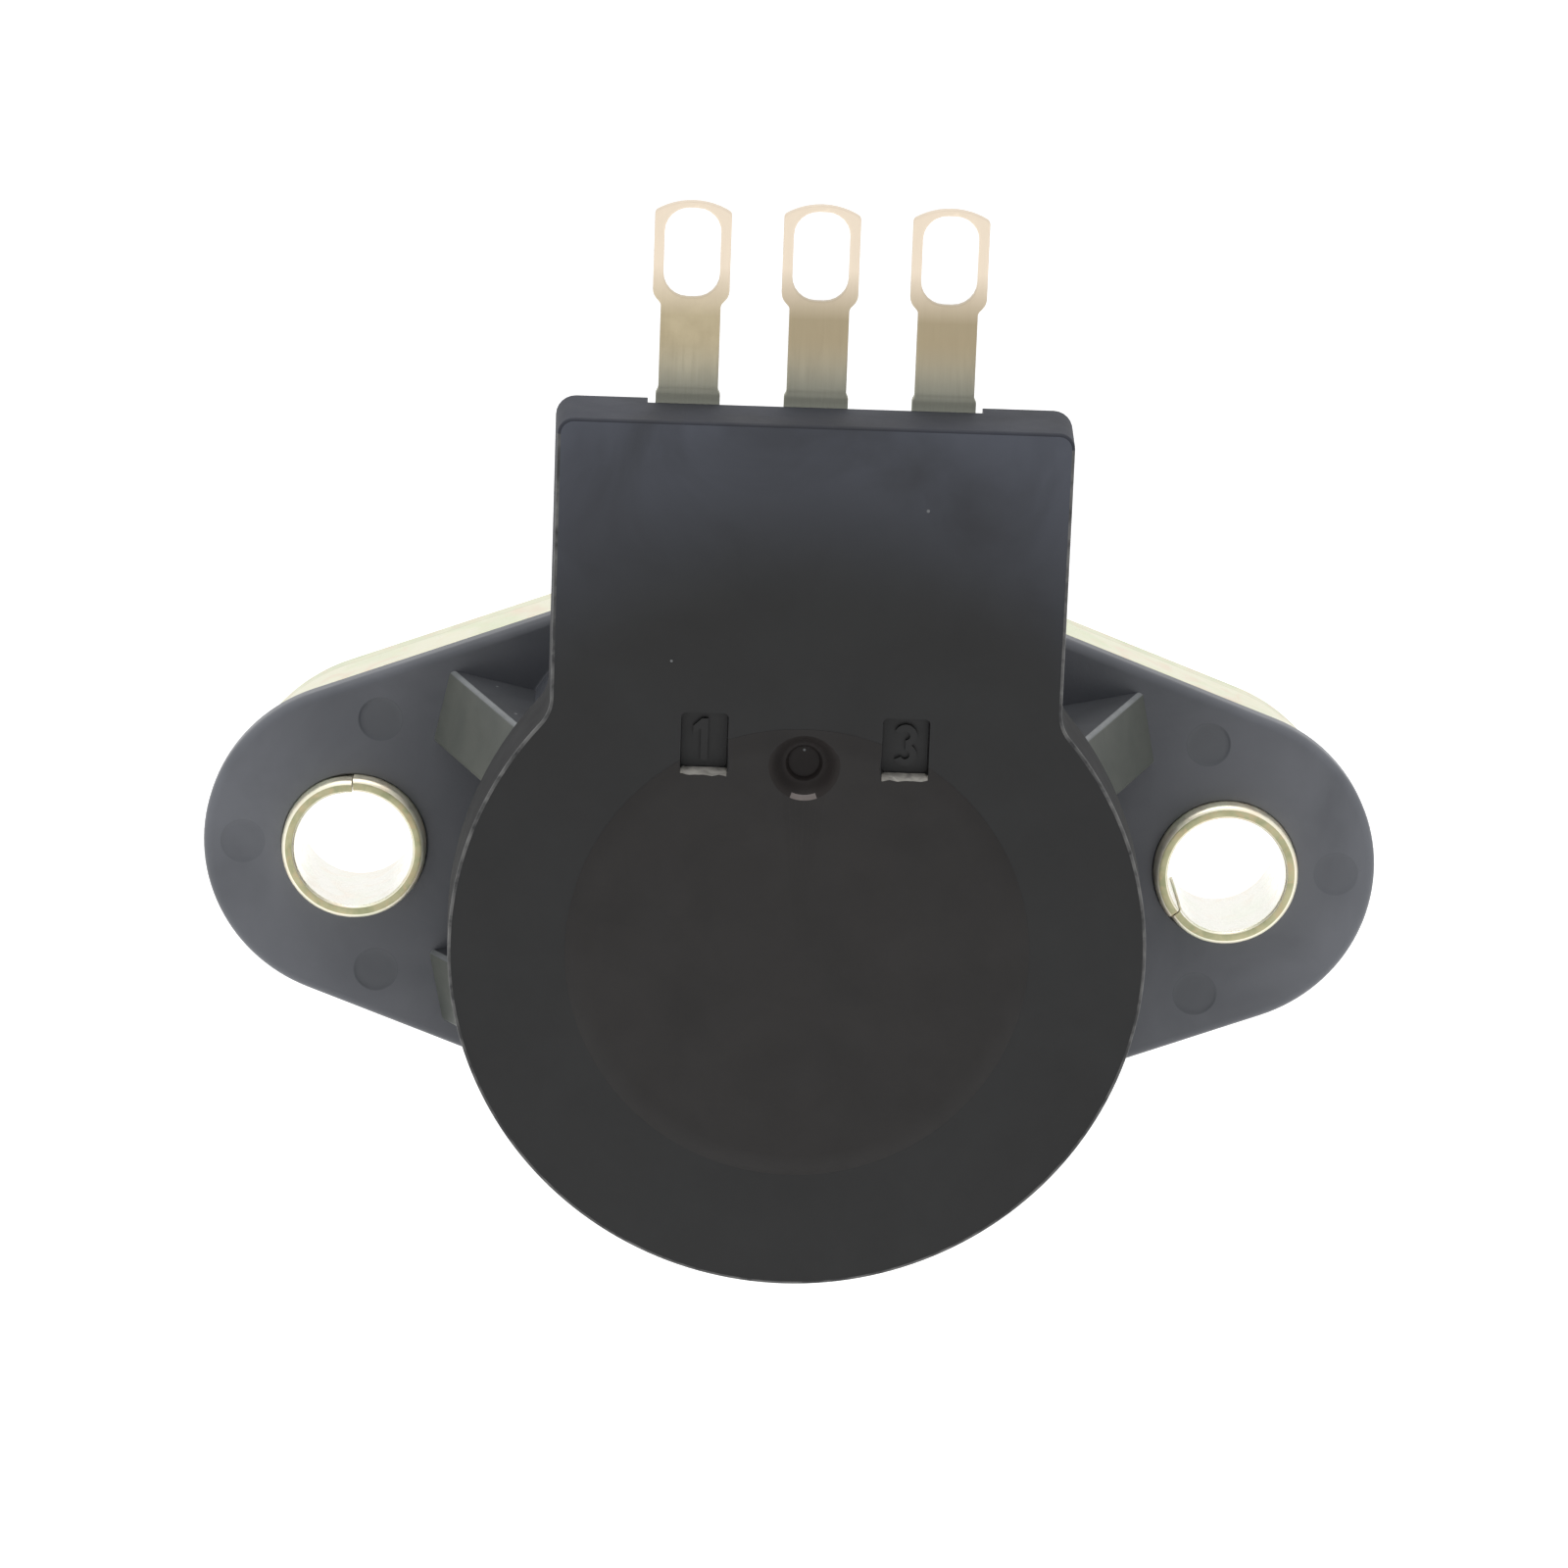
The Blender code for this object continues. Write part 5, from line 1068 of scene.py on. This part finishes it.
shaft = make_piece("ground_steel_shaft", turning([
    (0.0, SHAFT_FRONT - CENTRE_RADIUS),
    (CENTRE_RADIUS, SHAFT_FRONT),
    (SHAFT_RADIUS - SHAFT_CHAMFER, SHAFT_FRONT),
    (SHAFT_RADIUS, SHAFT_FRONT - SHAFT_CHAMFER),
    (SHAFT_RADIUS, SEAL_GROOVE_FRONT),
    (SEAL_GROOVE_RADIUS, SEAL_GROOVE_FRONT),
    (SEAL_GROOVE_RADIUS, SEAL_GROOVE_REAR),
    (SHAFT_RADIUS, SEAL_GROOVE_REAR),
    (SHAFT_RADIUS, CLIP_GROOVE_FRONT),
    (CLIP_GROOVE_RADIUS, CLIP_GROOVE_FRONT),
    (CLIP_GROOVE_RADIUS, CLIP_GROOVE_REAR),
    (SHAFT_RADIUS, CLIP_GROOVE_REAR),
    (SHAFT_RADIUS, TAIL_FRONT),
    (TAIL_RADIUS, TAIL_FRONT),
    (TAIL_RADIUS, TAIL_REAR + EDGE_BREAK),
    (TAIL_RADIUS - EDGE_BREAK, TAIL_REAR),
    (0.0, TAIL_REAR),
], SMALL_STEPS * 2), shaft_steel)
wide = SHAFT_RADIUS + PAST
for rear, front, low, high in (
    (FLAT_REAR, SHAFT_FRONT + PAST, FLAT_HEIGHT, wide),
    (TAIL_REAR - PAST, TAIL_FRONT, TAIL_FLAT, wide),
    (TAIL_REAR - PAST, TAIL_FRONT, -wide, -TAIL_FLAT),
):
    work(shaft, prism([(-wide, low), (wide, low), (wide, high), (-wide, high)], rear, front))
dress(shaft, "rotor", "shaft_steel", "shaft")

# Seal, washers and snap ring: a nitrile ring in the shaft's front groove keeps dirt out. Behind
# the bush a flat washer, a waved one and an open ring of spring steel take up the end play.


def finish_solids(material, *names):
    """Give solids that keep their own shape a finish."""
    for name in names:
        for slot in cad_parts[name].material_slots:
            slot.material = material


# Nitrile rubber, moulded: dull black, slightly mottled where talc and grease sit on it
nitrile, shader, place = begin("moulded_nitrile_rubber", 0.62, ior=1.52)
mottle = add(nitrile, "TexNoise", {"Vector": place, "Scale": 1.0 / (0.6 * MM), "Detail": 4.0})
rubber_body = add(nitrile, "Mix", {"Factor": mottle, "A": "161617", "B": "262627"})
finish(nitrile, shader, rubber_body, mottle, 0.52, 0.72)
finish_solids(nitrile, "shaft_o_ring")

# Hardened spring steel, tumbled and oiled: dark blue-grey with soft rings
spring_steel = turned("tumbled_spring_steel", "5F6266", "85888C", 0.34,
                      feed_mm=0.2, depth_mm=0.0015)
finish_solids(spring_steel, "thrust_washer", "spring_washer", "retaining_ring")

# Carrier and wiper: a moulded disc driven by the shaft's tail, with a stop finger, and a sprung
# bronze wiper on two of its pegs, whose fingers run on the tracks.

# Acetal as it comes, moulded: milky and waxy, a little darker where it flowed last
carrier_acetal = moulded("natural_moulded_acetal", "CFC9BA", "DAD5C7", 0.36, flow_mm=5.0,
                         grain_mm=0.2, depth_mm=0.002, ior=1.48)
finish_solids(carrier_acetal, "rotor_carrier")

# Phosphor bronze strip, rolled and stamped: reddish, with the roll's lines drawn 0.1 mm apart
wiper_bronze, shader, place = begin("rolled_phosphor_bronze", 0.3, metallic=1.0)
crosswise = add(wiper_bronze, "Mapping", {"Vector": place, "Scale": (0.05, 1.0, 1.0)})
bronze_lines = add(wiper_bronze, "TexNoise", {
    "Vector": crosswise, "Scale": 1.0 / (0.1 * MM), "Detail": 3.0,
})
bronze_body = add(wiper_bronze, "Mix", {"Factor": bronze_lines, "A": "B97F50", "B": "D19B68"})
finish(wiper_bronze, shader, bronze_body, bronze_lines, 0.22, 0.4)
finish_solids(wiper_bronze, "wiper")

# Element: a laminate disc clamped between the cup's ledge and the cover, with a printed carbon
# horseshoe and a printed silver ring. A brass rivet ties each lug to its track.
# The laminate is phenolic paper: brown, with fibres drawn 0.15 mm wide so that they show.
laminate, shader, place = begin("phenolic_paper_laminate", 0.5, ior=1.55)
weave = add(laminate, "Mapping", {"Vector": place, "Scale": (0.12, 1.0, 1.0)})
fibres = add(laminate, "TexNoise", {
    "Vector": weave, "Scale": 1.0 / (0.15 * MM), "Detail": 4.0, "Roughness": 0.6,
})
paper_body = add(laminate, "Mix", {"Factor": fibres, "A": "5E4228", "B": "8B683F"})
paper_relief = add(laminate, "Bump", {"Height": fibres, "Distance": 0.004 * MM})
feed(laminate, shader, Base_Color=paper_body, Normal=paper_relief)
finish_solids(laminate, "element_substrate")


def printed(name, dark, light, roughness, metallic, grain_mm):
    """Printed ink: a fine even grain from the screen, with faint thick and thin places."""
    material, shader, place = begin(name, roughness, metallic=metallic)
    grain = add(material, "TexNoise", {
        "Vector": place, "Scale": 1.0 / (grain_mm * MM), "Detail": 3.0, "Roughness": 0.7,
    })
    body = add(material, "Mix", {"Factor": grain, "A": dark, "B": light})
    finish(material, shader, body, grain, roughness - 0.08, roughness + 0.08, grain, 0.003)
    return material


# Carbon ink: near-black satin. Silver ink: pale grey metal flakes in a binder. The screen's mesh
# is near 0.1 mm, and both grains are drawn at that size.
finish_solids(printed("printed_carbon_ink", "1D1E20", "2E2F32", 0.42, 0.0, 0.1),
              "resistive_track")
finish_solids(printed("printed_silver_ink", "B2B2AE", "D2D2CE", 0.44, 1.0, 0.1),
              "collector_track")
# The same brass as the bush, headed cold
finish_solids(bush_brass, "terminal_rivet_1", "terminal_rivet_2", "terminal_rivet_3")

# Camera: a long lens from behind the part, a little above it and a touch to the left.
# The part hangs slightly clockwise in the picture, so the camera leans the other way.
CAMERA_DISTANCE = 240.0 * MM
CAMERA_AZIMUTH = radians(-1.513)
CAMERA_ELEVATION = radians(14.8)
CAMERA_ROLL = radians(2.155)
FOCUS = Vector((-0.552, -10.8, 4.789)) * MM
SENSOR = 36.0
FRAME_PIXELS = 1600.0
FOCAL_PIXELS = 5936.1

lens = bpy.data.cameras.new("camera")
lens.sensor_width = SENSOR
lens.lens = FOCAL_PIXELS / FRAME_PIXELS * SENSOR
camera = bpy.data.objects.new("camera", lens)
camera.matrix_world = (
    Matrix.Translation(FOCUS)
    @ Matrix.Rotation(CAMERA_AZIMUTH, 4, "Z")
    @ Matrix.Rotation(RIGHT_ANGLE - CAMERA_ELEVATION, 4, "X")
    @ Matrix.Rotation(CAMERA_ROLL, 4, "Z")
    @ Matrix.Translation((0.0, 0.0, CAMERA_DISTANCE))
)
bpy.context.scene.collection.objects.link(camera)
bpy.context.scene.camera = camera

# Floor and light: a white table well below the part, a white room, and one soft lamp overhead.
# The room is plain white to the eye and in reflections, and lights the part at a gentler level.
FLOOR_HEIGHT = -39.0 * MM
FLOOR_HALF = 2.5
ROOM_LIGHT = 0.55
LAMP_SIZE = 0.15
LAMP_POWER = 0.75
LAMP_PLACE = (-0.02, -0.03, 0.42)
TABLE_GLOW = 0.55


def seen_plain(surface):
    """Single out the rays that see a surface plainly: by eye, by reflection or through it."""
    rays = add(surface, "LightPath", {}).outputs
    plain = add(surface, "Math", {
        0: rays["Is Camera Ray"], 1: rays["Is Glossy Ray"],
    }, operation="ADD")
    return add(surface, "Math", {
        0: plain, 1: rays["Is Transmission Ray"],
    }, operation="ADD", use_clamp=True)


# Painted board, matt white: it glows a little to the eye, so that it stays plain without shadows
table_white, shader, place = begin("matt_white_table", 0.9)
shader.inputs["Base Color"].default_value = colour("F2F2F2")
glow = add(table_white, "Math", {0: seen_plain(table_white), 1: TABLE_GLOW}, operation="MULTIPLY")
shader.inputs["Emission Color"].default_value = colour("FFFFFF")
table_white.node_tree.links.new(glow.outputs[0], shader.inputs["Emission Strength"])
bm = bmesh.new()
bmesh.ops.create_grid(bm, x_segments=8, y_segments=8, size=FLOOR_HALF)
bmesh.ops.translate(bm, verts=bm.verts[:], vec=(0.0, 0.0, FLOOR_HEIGHT))
make_piece("table", bm, table_white)

room = bpy.data.worlds.new("white_room")
bpy.context.scene.world = room
room.use_nodes = True
room_light = room.node_tree.nodes["Background"]
room_light.inputs["Color"].default_value = colour("FFFFFF")
strength = add(room, "MapRange", {
    "Value": seen_plain(room), "To Min": ROOM_LIGHT, "To Max": 1.0,
})
room.node_tree.links.new(strength.outputs[0], room_light.inputs["Strength"])

lamp_light = bpy.data.lights.new("overhead_lamp", "AREA")
lamp_light.size = LAMP_SIZE
lamp_light.energy = LAMP_POWER
lamp = bpy.data.objects.new("overhead_lamp", lamp_light)
lamp.location = LAMP_PLACE
lamp.rotation_euler = (-lamp.location).to_track_quat("-Z", "Y").to_euler()
bpy.context.scene.collection.objects.link(lamp)

bpy.context.scene.view_settings.view_transform = "Standard"
